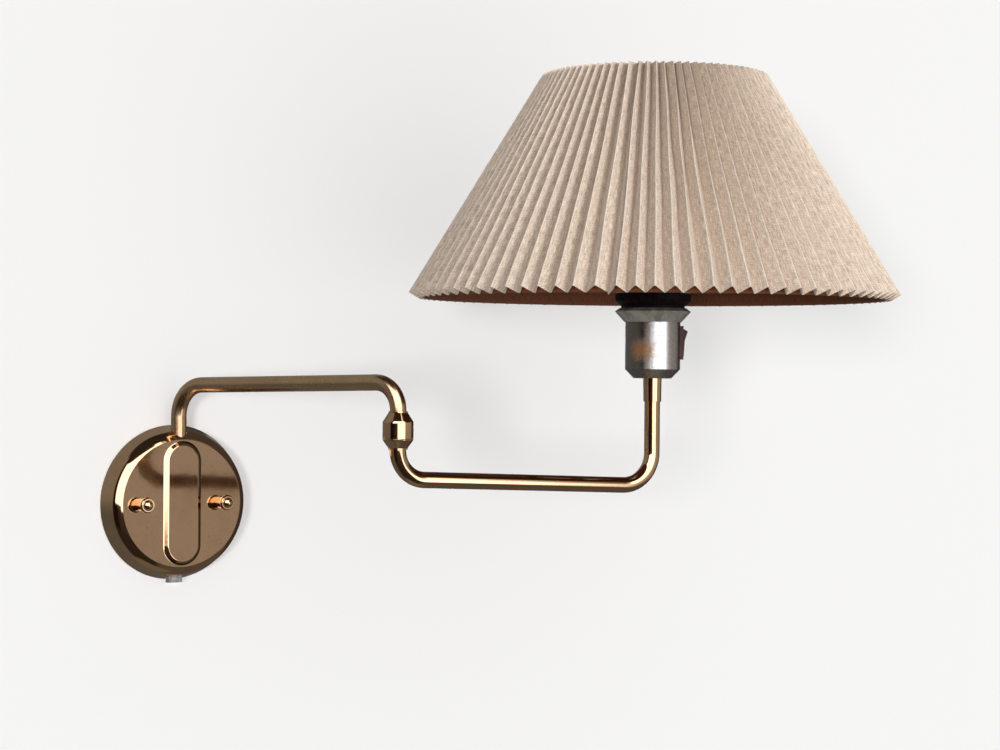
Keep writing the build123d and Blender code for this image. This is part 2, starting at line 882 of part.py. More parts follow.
with BuildPart() as socket_flange:
    turn(
        [
            (spigot_outer, spigot_low),
            (spigot_outer, socket_cap_top),
            (flange_neck_radius, socket_cap_top),
            (flange_radius, flange_lip_height),
            (flange_top_radius, flange_top),
            (web_inner, flange_top),
            (web_inner, web_low),
            (flange_top_radius - flange_sheet / 2, web_low),
            (flange_radius - 2 * flange_sheet, flange_lip_height),
            (flange_neck_radius - flange_sheet, socket_cap_top + flange_sheet),
            (spigot_inner, socket_cap_top + flange_sheet),
            (spigot_inner, spigot_low),
        ],
        socket_section,
        softened=[(flange_radius, flange_lip_height), (flange_top_radius, flange_top)],
    )
finish(socket_flange, "socket_flange")

# Moulded body with the lamp thread's shell and its contacts
body_floor_low = body_bottom + body_skirt_height
body_floor_top = body_floor_low + body_floor
shell_outer = shell_bore_radius + shell_wall
shell_low = body_floor_top + contact_well_depth
shell_high = shell_low + shell_length

with BuildPart() as socket_body:
    turn(
        [
            (0, body_floor_top),
            (contact_well_radius, body_floor_top),
            (contact_well_radius, shell_low),
            (shell_outer + seat_gap, shell_low),
            (shell_outer + seat_gap, body_top - body_mouth_depth),
            (body_mouth_radius, body_top - body_mouth_depth),
            (body_mouth_radius, body_top),
            (body_radius, body_top),
            (body_radius, flange_top),
            (body_spigot_radius, flange_top),
            (body_spigot_radius, body_bottom),
            (body_spigot_radius - body_skirt_wall, body_bottom),
            (body_spigot_radius - body_skirt_wall, body_floor_low),
            (0, body_floor_low),
        ],
        socket_section,
        softened=[(body_radius, body_top), (body_mouth_radius, body_top)],
    )
finish(socket_body, "socket_body")

with BuildPart() as body_nut:
    ring(socket_section, body_nut_radius, web_inner, web_low - body_nut_length, web_low)
finish(body_nut, "body_nut")

with BuildPart() as screw_shell:
    ring(socket_section, shell_outer, shell_bore_radius, shell_low, shell_high)
finish(screw_shell, "screw_shell")

with BuildPart() as centre_contact:
    with BuildSketch(socket_section):
        with BuildLine() as strip:
            contact_half = contact_length / 2
            Polyline(
                (-contact_half, body_floor_top),
                (-contact_half * contact_foot_share, body_floor_top),
                (contact_half * contact_foot_share, body_floor_top + contact_rise),
                (contact_half, body_floor_top + contact_rise),
            )
            offset(strip.wire(), amount=contact_thickness, side=Side.LEFT)
        make_face()
    extrude(amount=contact_width / 2, both=True)
finish(centre_contact, "centre_contact")

with BuildPart() as lamp_terminals:
    with BuildSketch(Plane.XY.offset(body_floor_low - lamp_terminal_height)):
        with Locations((socket_point.X, socket_point.Y)):
            with GridLocations(lamp_terminal_spacing, lamp_terminal_spacing, 2, 1):
                Rectangle(lamp_terminal_width, lamp_terminal_length)
    extrude(amount=lamp_terminal_height)
finish(lamp_terminals, "lamp_terminals")

# Shade rings, black, that clamp the fitter on the lampholder's thread
thread_bore = body_radius + seat_gap
ring_low = flange_top + seat_gap
fitter_low = ring_top + seat_gap
fitter_high = fitter_low + fitter_thickness

with BuildPart() as shade_ring_lower:
    turn(
        [
            (thread_bore, ring_low),
            (ring_neck_radius, ring_low),
            (ring_neck_radius, ring_low + ring_neck_height),
            (ring_outer_radius, ring_low + ring_neck_height + ring_cone_height),
            (ring_outer_radius, ring_top),
            (thread_bore, ring_top),
        ],
        socket_section,
        softened=[
            (ring_outer_radius, ring_low + ring_neck_height + ring_cone_height),
            (ring_outer_radius, ring_top),
        ],
    )
finish(shade_ring_lower, "shade_ring_lower")

with BuildPart() as shade_ring_upper:
    ring(
        socket_section,
        upper_ring_radius,
        thread_bore,
        fitter_high + seat_gap,
        fitter_high + seat_gap + upper_ring_length,
    )
finish(shade_ring_upper, "shade_ring_upper")

# Rocker switch: frame set into the cap's window, and the rocker on its pins
with BuildPart() as switch_housing:
    with BuildSketch(switch_plane(socket_radius - socket_wall)):
        Rectangle(2 * switch_bezel_half_width, 2 * switch_bezel_half_length)
    extrude(amount=switch_face - socket_radius + socket_wall)
    with BuildSketch(Plane.XY.offset(socket_bottom)):
        with Locations((socket_point.X, socket_point.Y)):
            Circle(socket_radius + seat_gap)
    extrude(amount=socket_cap_top - socket_bottom, mode=Mode.SUBTRACT)
    with BuildSketch(switch_plane(switch_back)):
        Rectangle(2 * switch_body_half_width, 2 * switch_body_half_length)
    extrude(amount=switch_body_depth)
    cavity_floor = rocker_axis_distance - rocker_hub_radius - 2 * switch_window_gap
    with BuildSketch(switch_plane(cavity_floor)):
        Rectangle(
            2 * (rocker_half_width + switch_window_gap),
            2 * (rocker_radius + switch_window_gap),
        )
    extrude(amount=switch_face - cavity_floor + cut_overrun, mode=Mode.SUBTRACT)
    rocker_axis_point = socket_point + switch_direction * rocker_axis_distance
    rocker_section = arm_section(rocker_axis_point, switch_direction)
    with BuildSketch(rocker_section):
        with Locations((0, switch_height)):
            Circle(rocker_pin_radius + running_gap)
    extrude(amount=switch_bezel_half_width, both=True, mode=Mode.SUBTRACT)
finish(switch_housing, "switch_housing")


def on_rocker_end(reach, sign):
    """Point of the rocker's round end at a reach out from the pins, above (1) or below (-1) them."""
    return (reach, switch_height + sign * sqrt(rocker_radius**2 - reach**2))


with BuildPart() as switch_rocker:
    with BuildSketch(rocker_section):
        with BuildLine():
            Polyline(
                on_rocker_end(rocker_high_end, 1),
                (rocker_kink, switch_height + rocker_kink_offset),
                on_rocker_end(rocker_low_end, -1),
            )
            ThreePointArc(
                on_rocker_end(rocker_low_end, -1),
                on_rocker_end((rocker_low_end + rocker_skirt) / 2, -1),
                on_rocker_end(rocker_skirt, -1),
            )
            Line(on_rocker_end(rocker_skirt, -1), on_rocker_end(rocker_skirt, 1))
            ThreePointArc(
                on_rocker_end(rocker_skirt, 1),
                on_rocker_end((rocker_high_end + rocker_skirt) / 2, 1),
                on_rocker_end(rocker_high_end, 1),
            )
        make_face()
        with Locations((0, switch_height)):
            Circle(rocker_hub_radius)
    extrude(amount=rocker_half_width, both=True)
    with BuildSketch(rocker_section):
        with Locations((0, switch_height)):
            Circle(rocker_pin_radius)
    extrude(amount=rocker_half_width + rocker_pin_length, both=True)
finish(switch_rocker, "switch_rocker")

with BuildPart() as switch_terminals:
    with BuildSketch(switch_plane(switch_back - blade_length)):
        with GridLocations(blade_spacing, blade_spacing, 1, 2):
            Rectangle(blade_width, blade_thickness)
    extrude(amount=blade_length)
finish(switch_terminals, "switch_terminals")

# Pleated shade: the folds keep one face width, so they deepen towards the top
shade_height = shade_top - shade_bottom
shade_slope = atan2(shade_bottom_radius - shade_top_radius, shade_height)
pleat_pitch = 2 * pi / (pleat_count - 1 + seam_pitch_share)


def fold_depth(radius):
    """Level depth of a fold whose outer edge is at a radius."""
    half_pitch = radius * pleat_pitch / 2
    return sqrt(pleat_face_width**2 - half_pitch**2) / cos(shade_slope)


def fold_inset(radius):
    """How far in the linen's inner face lies, measured along the radius."""
    return linen_thickness / sin(atan2(radius * pleat_pitch / 2, fold_depth(radius)))


def fold_points(radius, inset):
    """Corners of the folded outline at one level: an inner fold, then an outer one, all round."""
    ridge = radius - inset
    valley = radius - fold_depth(radius) - inset
    points = []
    angle = radians(seam_azimuth) - seam_pitch_share * pleat_pitch / 2
    for index in range(pleat_count):
        pitch = pleat_pitch * (seam_pitch_share if index == 0 else 1)
        points.append((valley * cos(angle), valley * sin(angle)))
        points.append((ridge * cos(angle + pitch / 2), ridge * sin(angle + pitch / 2)))
        angle += pitch
    return points


def shade_plane(height):
    """Level plane centred on the riser's axis."""
    return Plane(origin=(socket_point.X, socket_point.Y, height))


bottom_valley = shade_bottom_radius - fold_depth(shade_bottom_radius)
top_valley = shade_top_radius - fold_depth(shade_top_radius)

with BuildPart() as shade_cover:
    for height, radius in ((shade_bottom, shade_bottom_radius), (shade_top, shade_top_radius)):
        with BuildSketch(shade_plane(height)):
            with BuildLine():
                Polyline(*fold_points(radius, 0), close=True)
            make_face()
            with BuildLine():
                Polyline(*fold_points(radius, fold_inset(radius)), close=True)
            make_face(mode=Mode.SUBTRACT)
    loft(ruled=True)
    hem_reach = shade_bottom_radius + cut_overrun
    hem_inner = bottom_valley - cut_overrun
    turn(
        [
            (hem_inner, shade_bottom - cut_overrun * tan(shade_slope)),
            (hem_reach, shade_bottom - cut_overrun * tan(shade_slope)),
            (hem_reach, shade_bottom + (hem_reach - bottom_valley) * tan(shade_slope)),
        ],
        socket_section,
        mode=Mode.SUBTRACT,
    )
finish(shade_cover, "shade_cover")

# Lining: smooth cone just inside the folds
lining_bottom = bottom_valley - fold_inset(shade_bottom_radius) - fabric_gap
lining_top = top_valley - fold_inset(shade_top_radius) - fabric_gap
lining_slope = atan2(lining_bottom - lining_top, shade_height)
lining_level_wall = lining_thickness / cos(lining_slope)

with BuildPart() as shade_lining:
    turn(
        [
            (lining_bottom, shade_bottom),
            (lining_top, shade_top),
            (lining_top - lining_level_wall, shade_top),
            (lining_bottom - lining_level_wall, shade_bottom),
        ],
        socket_section,
    )
finish(shade_lining, "shade_lining")


def wire_ring_radius(height):
    """Radius of a wire ring that lies against the lining's inside at a height."""
    lining_inside = lining_bottom - lining_level_wall - (height - shade_bottom) * tan(lining_slope)
    return lining_inside - (wire_radius + seat_gap) / cos(lining_slope)


def wire_ring(height):
    """A round wire ring at a height."""
    with BuildSketch(socket_section) as wire:
        with Locations((wire_ring_radius(height), height)):
            Circle(wire_radius)
    revolve(wire.sketch, axis=Axis(socket_section.origin, (0, 0, 1)))


with BuildPart() as shade_bottom_ring:
    wire_ring(shade_bottom + bottom_ring_lift)
finish(shade_bottom_ring, "shade_bottom_ring")

# Shade carrier: top wire, three legs, and the fitter that the shade rings clamp
top_ring_height = shade_top - top_ring_drop
leg_foot_radius = fitter_radius - 2 * wire_radius

with BuildPart() as shade_top_ring:
    wire_ring(top_ring_height)
finish(shade_top_ring, "shade_top_ring")

with BuildPart() as shade_legs:
    for index in range(leg_count):
        azimuth = radians(leg_turn + index * 360 / leg_count)
        out = Vector(cos(azimuth), sin(azimuth), 0)
        foot = socket_point + out * leg_foot_radius + Vector(0, 0, fitter_high)
        weld = socket_point + out * wire_ring_radius(top_ring_height) + Vector(0, 0, top_ring_height)
        along = (weld - foot).normalized()
        start = foot - along * cut_overrun
        with BuildLine() as leg_line:
            Line(start, weld - along * (wire_radius + seat_gap))
        with BuildSketch(Plane(origin=start, z_dir=along)) as leg_end:
            Circle(wire_radius)
        sweep(leg_end.sketch, path=leg_line.wire())
    with BuildSketch(Plane.XY.offset(fitter_high + seat_gap)) as under_legs:
        with Locations((socket_point.X, socket_point.Y)):
            Circle(fitter_radius + cut_overrun)
    extrude(under_legs.sketch, amount=-ring_cone_height, mode=Mode.SUBTRACT)
finish(shade_legs, "shade_legs")

with BuildPart() as shade_fitter:
    ring(socket_section, fitter_radius, thread_bore, fitter_low, fitter_high)
finish(shade_fitter, "shade_fitter")
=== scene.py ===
from math import asin, atan2, cos, hypot, pi, radians, sin, tan

import bmesh
import bpy
import numpy as np
from mathutils import Matrix, Vector


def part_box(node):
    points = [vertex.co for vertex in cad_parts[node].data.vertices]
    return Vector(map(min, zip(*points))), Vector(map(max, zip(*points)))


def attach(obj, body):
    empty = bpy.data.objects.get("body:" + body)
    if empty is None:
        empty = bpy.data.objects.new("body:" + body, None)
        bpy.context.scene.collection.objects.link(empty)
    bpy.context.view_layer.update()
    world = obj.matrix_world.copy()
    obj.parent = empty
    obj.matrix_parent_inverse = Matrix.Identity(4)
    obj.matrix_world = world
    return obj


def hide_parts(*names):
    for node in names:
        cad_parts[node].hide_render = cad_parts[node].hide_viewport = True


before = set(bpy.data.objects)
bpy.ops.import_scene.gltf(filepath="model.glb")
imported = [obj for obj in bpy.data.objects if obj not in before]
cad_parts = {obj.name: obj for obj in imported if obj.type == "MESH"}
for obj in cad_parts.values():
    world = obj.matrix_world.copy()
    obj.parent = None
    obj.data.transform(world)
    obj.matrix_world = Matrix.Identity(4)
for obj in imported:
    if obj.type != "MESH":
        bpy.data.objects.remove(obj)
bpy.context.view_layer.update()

# Camera: at the photograph's place, left of the object, nearly level and turned to the right
CAMERA_PLACE = Vector((-0.70335, -1.51812, 0.1123))
CAMERA_YAW = radians(33.7)
CAMERA_PITCH = radians(-0.36)
CAMERA_ROLL = radians(0.44)
CAMERA_LENS = 75.6
CAMERA_SENSOR = 36.0

ahead = Vector((sin(CAMERA_YAW) * cos(CAMERA_PITCH), cos(CAMERA_YAW) * cos(CAMERA_PITCH), sin(CAMERA_PITCH)))
level_right = Vector((cos(CAMERA_YAW), -sin(CAMERA_YAW), 0.0))
level_up = level_right.cross(ahead)
right = level_right * cos(CAMERA_ROLL) + level_up * sin(CAMERA_ROLL)
up = level_up * cos(CAMERA_ROLL) - level_right * sin(CAMERA_ROLL)
camera_data = bpy.data.cameras.new("camera")
camera_data.lens = CAMERA_LENS
camera_data.sensor_width = CAMERA_SENSOR
camera = bpy.data.objects.new("camera", camera_data)
camera.matrix_world = Matrix.Translation(CAMERA_PLACE) @ Matrix((right, up, -ahead)).transposed().to_4x4()
bpy.context.scene.collection.objects.link(camera)
bpy.context.scene.camera = camera
bpy.context.scene.view_settings.view_transform = "Standard"

MILLIMETRES = 1000.0


class Socket:
    """An output of a node. Sums, products and the like of sockets add Math nodes."""

    def __init__(self, nodes, output):
        self.nodes, self.output = nodes, output

    def __add__(self, other):
        return self.nodes.maths("ADD", self, other)

    __radd__ = __add__

    def __sub__(self, other):
        return self.nodes.maths("SUBTRACT", self, other)

    def __rsub__(self, other):
        return self.nodes.maths("SUBTRACT", other, self)

    def __mul__(self, other):
        return self.nodes.maths("MULTIPLY", self, other)

    __rmul__ = __mul__

    def __truediv__(self, other):
        return self.nodes.maths("DIVIDE", self, other)

    def __rtruediv__(self, other):
        return self.nodes.maths("DIVIDE", other, self)

    def __pow__(self, other):
        return self.nodes.maths("POWER", self, other)

    def fraction(self):
        """The part after the decimal point."""
        return self.nodes.maths("FRACT", self)

    def size(self):
        """The value without its sign."""
        return self.nodes.maths("ABSOLUTE", self)

    def rise(self, low, high):
        """0 below low, 1 above high, and a smooth step between them."""
        return self.nodes.node(
            "ShaderNodeMapRange", 0, {"interpolation_type": "SMOOTHSTEP"},
            {"Value": self, "From Min": low, "From Max": high},
        )

    def band(self, low, high, soft):
        """1 between low and high and 0 outside, with edges of a soft width."""
        half = soft / 2
        return self.rise(low - half, low + half) * (1 - self.rise(high - half, high + half))


class Nodes:
    """A node tree that is being made."""

    def __init__(self, tree):
        self.tree = tree
        tree.nodes.clear()

    def node(self, kind, output=0, settings=None, inputs=None):
        """Add a node: its settings first, then the values or links of its sockets."""
        made = self.tree.nodes.new(kind)
        for name, value in (settings or {}).items():
            setattr(made, name, value)
        for key, value in (inputs or {}).items():
            socket = made.inputs[key]
            if isinstance(value, Socket):
                self.tree.links.new(value.output, socket)
            elif socket.type == "RGBA":
                socket.default_value = (*value, 1.0)
            else:
                socket.default_value = value
        return Socket(self, made.outputs[output]) if made.outputs else None

    def maths(self, operation, *values):
        """A Math node on numbers or sockets."""
        return self.node("ShaderNodeMath", 0, {"operation": operation}, dict(enumerate(values)))

    def vectors(self, operation, first, second, output=0):
        """A Vector Math node on two vectors."""
        return self.node("ShaderNodeVectorMath", output, {"operation": operation}, {0: first, 1: second})

    def place(self, stretch=(1.0, 1.0, 1.0)):
        """Object coordinates in millimetres, stretched along each axis."""
        metres = self.node("ShaderNodeTexCoord", "Object")
        return self.vectors("MULTIPLY", metres, tuple(MILLIMETRES * share for share in stretch))

    def cloth(self, along=1.0, across=1.0):
        """The piece's flat cloth coordinates in millimetres, stretched along and across."""
        flat = self.node("ShaderNodeUVMap", 0, {"uv_map": "cloth"})
        return self.vectors("MULTIPLY", flat, (MILLIMETRES * along, MILLIMETRES * across, 1.0))

    def axes(self, vector):
        """The three numbers of a vector."""
        return [self.node("ShaderNodeSeparateXYZ", axis, {}, {0: vector}) for axis in range(3)]

    def distance(self, first, second):
        """Distance between two places."""
        return self.vectors("DISTANCE", first, second, "Value")

    def reach(self, vector, toward):
        """How far a vector reaches in a direction."""
        return self.vectors("DOT_PRODUCT", vector, toward, "Value")

    def noise(self, place, scale, detail=2.0, roughness=0.5):
        """Noise from 0 to 1 at a scale per millimetre."""
        return self.node(
            "ShaderNodeTexNoise", 0, {},
            {"Vector": place, "Scale": scale, "Detail": detail, "Roughness": roughness},
        )

    def mix(self, factor, first, second):
        """Two colours mixed by a factor."""
        return self.node("ShaderNodeMix", 2, {"data_type": "RGBA"}, {0: factor, 6: first, 7: second})


def finish(name, colour, roughness, metallic, height, relief, **constants):
    """A material: colour, roughness and metallic are values or functions of the tree, and height is one.

    The relief is how far, in metres, a height of 1 stands out.
    """
    material = bpy.data.materials.new(name)
    material.use_nodes = True
    nodes = Nodes(material.node_tree)
    worked = {"Base Color": colour, "Roughness": roughness, "Metallic": metallic}
    inputs = {key: value(nodes) if callable(value) else value for key, value in worked.items()}
    inputs["Normal"] = nodes.node(
        "ShaderNodeBump", 0, {}, {"Strength": 1.0, "Distance": relief, "Height": height(nodes)}
    )
    inputs.update({key.replace("_", " "): value for key, value in constants.items()})
    surface = nodes.node("ShaderNodeBsdfPrincipled", 0, {}, inputs)
    nodes.node("ShaderNodeOutputMaterial", 0, {}, {"Surface": surface})
    return material


# Finishes: noise scales are per millimetre, and a rise goes from its first number to its second
riser_low, riser_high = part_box("shade_ring_upper")
riser_x, riser_y = (riser_low.x + riser_high.x) / 2, (riser_low.y + riser_high.y) / 2
TO_CAMERA = (-sin(CAMERA_YAW), -cos(CAMERA_YAW), 0.0)
TO_RIGHT = (cos(CAMERA_YAW), -sin(CAMERA_YAW), 0.0)
CAP_RADIUS = 21.0
CAP_MIDDLE = MILLIMETRES * (riser_x * TO_RIGHT[0] + riser_y * TO_RIGHT[1])
# Where the painted brown reflection sits on the cap: a bearing from the camera, a height and a squash
REFLECTION_BEARING = radians(-30.0)
REFLECTION_HEIGHT, REFLECTION_SQUASH = 122.5, 1.25
reflection_reach = [cos(REFLECTION_BEARING) * to + sin(REFLECTION_BEARING) * beside for to, beside in zip(TO_CAMERA, TO_RIGHT)]
REFLECTION_PLACE = (
    MILLIMETRES * riser_x + CAP_RADIUS * reflection_reach[0],
    MILLIMETRES * riser_y + CAP_RADIUS * reflection_reach[1],
    REFLECTION_SQUASH * REFLECTION_HEIGHT,
)

# Reliefs in metres, then colours
GRAIN_RELIEF, POLISH_RELIEF, TUBE_RELIEF, LINING_RELIEF, LINEN_RELIEF = 0.00001, 0.00002, 0.00003, 0.0001, 0.00025
BRASS, TONED_BRASS, BRASS_SPECK = (0.77, 0.515, 0.30), (0.66, 0.42, 0.24), (0.33, 0.19, 0.10)
FOOT_PAINTED_SHADE, NUT_FOOT_SHADE = (0.06, 0.03, 0.018), (0.30, 0.17, 0.08)
TURNED_BRASS, TOOL_LINE = (0.83, 0.60, 0.33), (0.60, 0.41, 0.20)
NICKEL, BROWNED_NICKEL, NICKEL_PAINTED_SHADE = (0.73, 0.71, 0.69), (0.50, 0.41, 0.33), (0.36, 0.31, 0.27)
GREYED_NICKEL, BROWN_PAINTED_REFLECTION, NICKEL_PIT = (0.40, 0.38, 0.35), (0.40, 0.19, 0.07), (0.10, 0.075, 0.06)
FLANGE_PALE, FLANGE_DARK, FLANGE_SPECK = (0.66, 0.66, 0.59), (0.44, 0.43, 0.38), (0.16, 0.14, 0.11)
ZINC, YELLOWED_ZINC, ZINC_SPANGLE = (0.60, 0.61, 0.62), (0.62, 0.58, 0.46), (0.42, 0.42, 0.43)
BLACK, BROWNED_BLACK = (0.006, 0.005, 0.005), (0.013, 0.009, 0.008)
PLUM, RUBBED_PLUM = (0.052, 0.026, 0.026), (0.080, 0.042, 0.042)
NYLON, YELLOWED_NYLON = (0.80, 0.79, 0.75), (0.74, 0.70, 0.60)
MILKY, CLOUDED_MILKY = (0.90, 0.90, 0.89), (0.84, 0.84, 0.82)
WIRE_WHITE, RUBBED_WIRE = (0.80, 0.79, 0.76), (0.50, 0.48, 0.45)
THREAD_BROWN, THREAD_PALE, DARK_SLUB_AND_VALLEY_SHADE = (0.40, 0.315, 0.25), (0.85, 0.715, 0.59), (0.36, 0.27, 0.21)
LINEN_CLOUD, LINEN_RIDGE_HIGHLIGHT = (0.62, 0.51, 0.42), (0.88, 0.79, 0.69)
LINING_DARK, LINING_PALE = (0.125, 0.040, 0.016), (0.215, 0.077, 0.032)


def toned_brass_colour(n):
    """Warm brass with soft brown toning in patches and small darker specks."""
    patches = n.noise(n.place(), 0.035, 3.0, 0.6).rise(0.42, 0.68)
    specks = n.noise(n.place(), 0.8, 2.0).rise(0.62, 0.74)
    return n.mix(specks * 0.5, n.mix(patches * 0.55, BRASS, TONED_BRASS), BRASS_SPECK)


def hand_polish(n):
    """Roughness of a hand-polished metal: cloudy, with fine rubbing marks."""
    clouds = n.noise(n.place(), 0.06, 3.0)
    rubbing = n.noise(n.place((1.0, 1.0, 0.15)), 3.0, 3.0)
    return 0.035 + clouds * 0.05 + rubbing * 0.03


def polish_height(n):
    """Slight unevenness of polished sheet and fine scratches on it."""
    return n.noise(n.place(), 0.12, 2.0) * 0.8 + n.noise(n.place((1.0, 0.2, 1.0)), 5.0, 2.0) * 0.03


STADIUM_HALF_WIDTH, STADIUM_HALF_RUN = 15.5, 32.8
LEAN_RIGHT, LEAN_UP = 2.95, 2.6


def dish_colour(n):
    """Toned brass with painted shade along the raised stadium's foot, mostly on its right and below.

    The foot is where the distance from the stadium's upright spine equals its half width.
    """
    x, _, z = n.axes(n.place())
    beyond = n.maths("MAXIMUM", z.size() - STADIUM_HALF_RUN, 0.0)
    from_foot = (x * x + beyond * beyond) ** 0.5 - STADIUM_HALF_WIDTH + 0.5
    shaded_side = n.maths("MAXIMUM", x.rise(-9.0, 5.0), (0 - z).rise(40.0, 46.0))
    # painted shade: a dark line along the stadium's foot, on its right and below
    return n.mix((1 - from_foot.size().rise(0.45, 1.3)) * shaded_side * 0.9, toned_brass_colour(n), FOOT_PAINTED_SHADE)


def nut_colour(n):
    """Toned brass with painted shade that darkens it towards the nut's foot, against the dish."""
    # painted shade towards the nut's foot
    return n.mix(n.axes(n.place())[1].rise(-29.0, -22.0) * 0.65, toned_brass_colour(n), NUT_FOOT_SHADE)


def dish_height(n):
    """Unevenness of the sheet, on a face that leans a little up and to the right on its nuts."""
    x, _, z = n.axes(n.place())
    return polish_height(n) - x * LEAN_RIGHT - z * LEAN_UP


def satin_polish(n):
    """Roughness of a tube dulled by handling, with brighter rubbed streaks along it."""
    streaks = n.noise(n.place((0.15, 0.15, 1.0)), 1.6, 3.0)
    return 0.11 + n.noise(n.place(), 0.05, 3.0) * 0.14 + streaks * 0.12


def turned_brass_colour(n):
    """Bright brass with thin darker tool lines round an upright axis."""
    lines = n.noise(n.place((0.05, 0.05, 1.0)), 4.0, 2.0)
    return n.mix(lines.rise(0.35, 0.75) * 0.5, TURNED_BRASS, TOOL_LINE)


def lathe_height(n):
    """Tool lines round an upright axis."""
    return n.noise(n.place((0.05, 0.05, 1.0)), 6.0, 1.0)


def painted_reflection_patch(n):
    """1 within a painted brown reflection at the front left of the cap, fading unevenly outward."""
    place = n.place((1.0, 1.0, REFLECTION_SQUASH))
    warp = n.noise(place, 0.22, 4.0, 0.65)
    return 1 - (n.distance(place, REFLECTION_PLACE) + (warp - 0.5) * 16.0).rise(3.0, 14.0)


def nickel_colour(n):
    """Nickel with a bright upright strip that is a painted highlight, painted shade to either side, clouds of tarnish,
    a painted brown reflection, and pits crowding the lower edge.
    """
    place = n.place()
    clouds = n.noise(place, 0.05, 3.0, 0.6).rise(0.50, 0.72)
    low = 1 - n.axes(place)[2].rise(101.0, 112.0)
    pits = n.noise(place, 1.1, 2.0).rise(0.62, 0.70) * (0.25 + low * 0.75)
    ragged = (n.noise(n.place((1.0, 1.0, 0.12)), 0.5, 3.0, 0.65) - 0.5) * 9.0
    aside = n.reach(place, TO_RIGHT) - CAP_MIDDLE + ragged
    # painted highlight: an upright strip of bright nickel where the reflection streak lies, with darker painted shade
    # to either side
    highlight_strip = aside.rise(-5.0, -1.0) * (1 - aside.rise(7.0, 10.0) * 0.45)
    metal = n.mix(highlight_strip, NICKEL_PAINTED_SHADE, n.mix(clouds * 0.5, NICKEL, BROWNED_NICKEL))
    # painted reflection: a brown patch on the cap's front left
    metal = n.mix(painted_reflection_patch(n) * 0.85, metal, BROWN_PAINTED_REFLECTION)
    return n.mix(pits, n.mix(low * 0.45, metal, GREYED_NICKEL), NICKEL_PIT)


def nickel_metal(n):
    """All metal but for the painted brown reflection, which is made part diffuse."""
    return 1 - painted_reflection_patch(n) * 0.6


def flange_colour(n):
    """Dull greyed nickel with cloudy upright streaks and dark specks."""
    clouds = n.noise(n.place((1.0, 1.0, 0.15)), 0.16, 3.0, 0.6)
    specks = n.noise(n.place(), 1.2, 2.0).rise(0.62, 0.70)
    return n.mix(specks * 0.6, n.mix(clouds.rise(0.4, 0.65), FLANGE_PALE, FLANGE_DARK), FLANGE_SPECK)


def nickel_roughness(n):
    """Nickel rubbed bright in places and dulled in others."""
    return 0.16 + n.noise(n.place(), 0.09, 3.0) * 0.16 + n.noise(n.place(), 2.0, 1.0) * 0.06


def nickel_height(n):
    """Pits in the plating."""
    return 1 - n.noise(n.place(), 1.1, 2.0).rise(0.60, 0.72)


def flange_roughness(n):
    """Nickel that has gone dull in clouds."""
    return 0.30 + n.noise(n.place(), 0.3, 3.0) * 0.16


def zinc_colour(n):
    """Zinc plate: grey spangle with a trace of yellow."""
    spangle = n.node("ShaderNodeTexVoronoi", "Distance", {}, {"Vector": n.place(), "Scale": 0.9})
    tint = n.noise(n.place(), 0.2, 2.0)
    return n.mix(
        spangle.rise(0.2, 0.8) * 0.4, n.mix(tint.rise(0.4, 0.7) * 0.6, ZINC, YELLOWED_ZINC), ZINC_SPANGLE
    )


def zinc_roughness(n):
    """Plate that is a little duller in places."""
    return 0.30 + n.noise(n.place(), 0.5, 2.0) * 0.20


def fine_grain(n):
    """Fine even grain of a moulded or coated surface."""
    return n.noise(n.place(), 4.0, 2.0)


def black_colour(n):
    """Phenolic black with faint brown clouds and dust in the grain."""
    return n.mix(n.noise(n.place(), 0.25, 3.0).rise(0.4, 0.7), BLACK, BROWNED_BLACK)


def rocker_colour(n):
    """Dark plum-brown plastic, paler where thumbs have rubbed it."""
    return n.mix(n.noise(n.place(), 0.4, 3.0).rise(0.4, 0.7), PLUM, RUBBED_PLUM)


def nylon_colour(n):
    """Milky nylon that has yellowed a little in places."""
    return n.mix(n.noise(n.place(), 0.3, 2.0).rise(0.35, 0.7), NYLON, YELLOWED_NYLON)


def milky_colour(n):
    """Nearly clear white plastic, faintly cloudy."""
    return n.mix(n.noise(n.place(), 0.3, 2.0).rise(0.35, 0.7), MILKY, CLOUDED_MILKY)


def wire_colour(n):
    """White coating, with a few rubbed grey spots."""
    return n.mix(n.noise(n.place(), 0.8, 2.0).rise(0.66, 0.74) * 0.5, WIRE_WHITE, RUBBED_WIRE)


FACE_WIDTH = 0.0113


def linen_threads(n):
    """How proud the thread is: long slubs along both ways of the weave over a fine plain weave."""
    across = n.noise(n.cloth(1.0, 0.08), 1.9, 2.0)
    along = n.noise(n.cloth(0.10, 1.0), 2.0, 2.0)
    fine = n.noise(n.cloth(), 2.5, 1.0)
    return across * 0.46 + along * 0.32 + fine * 0.22


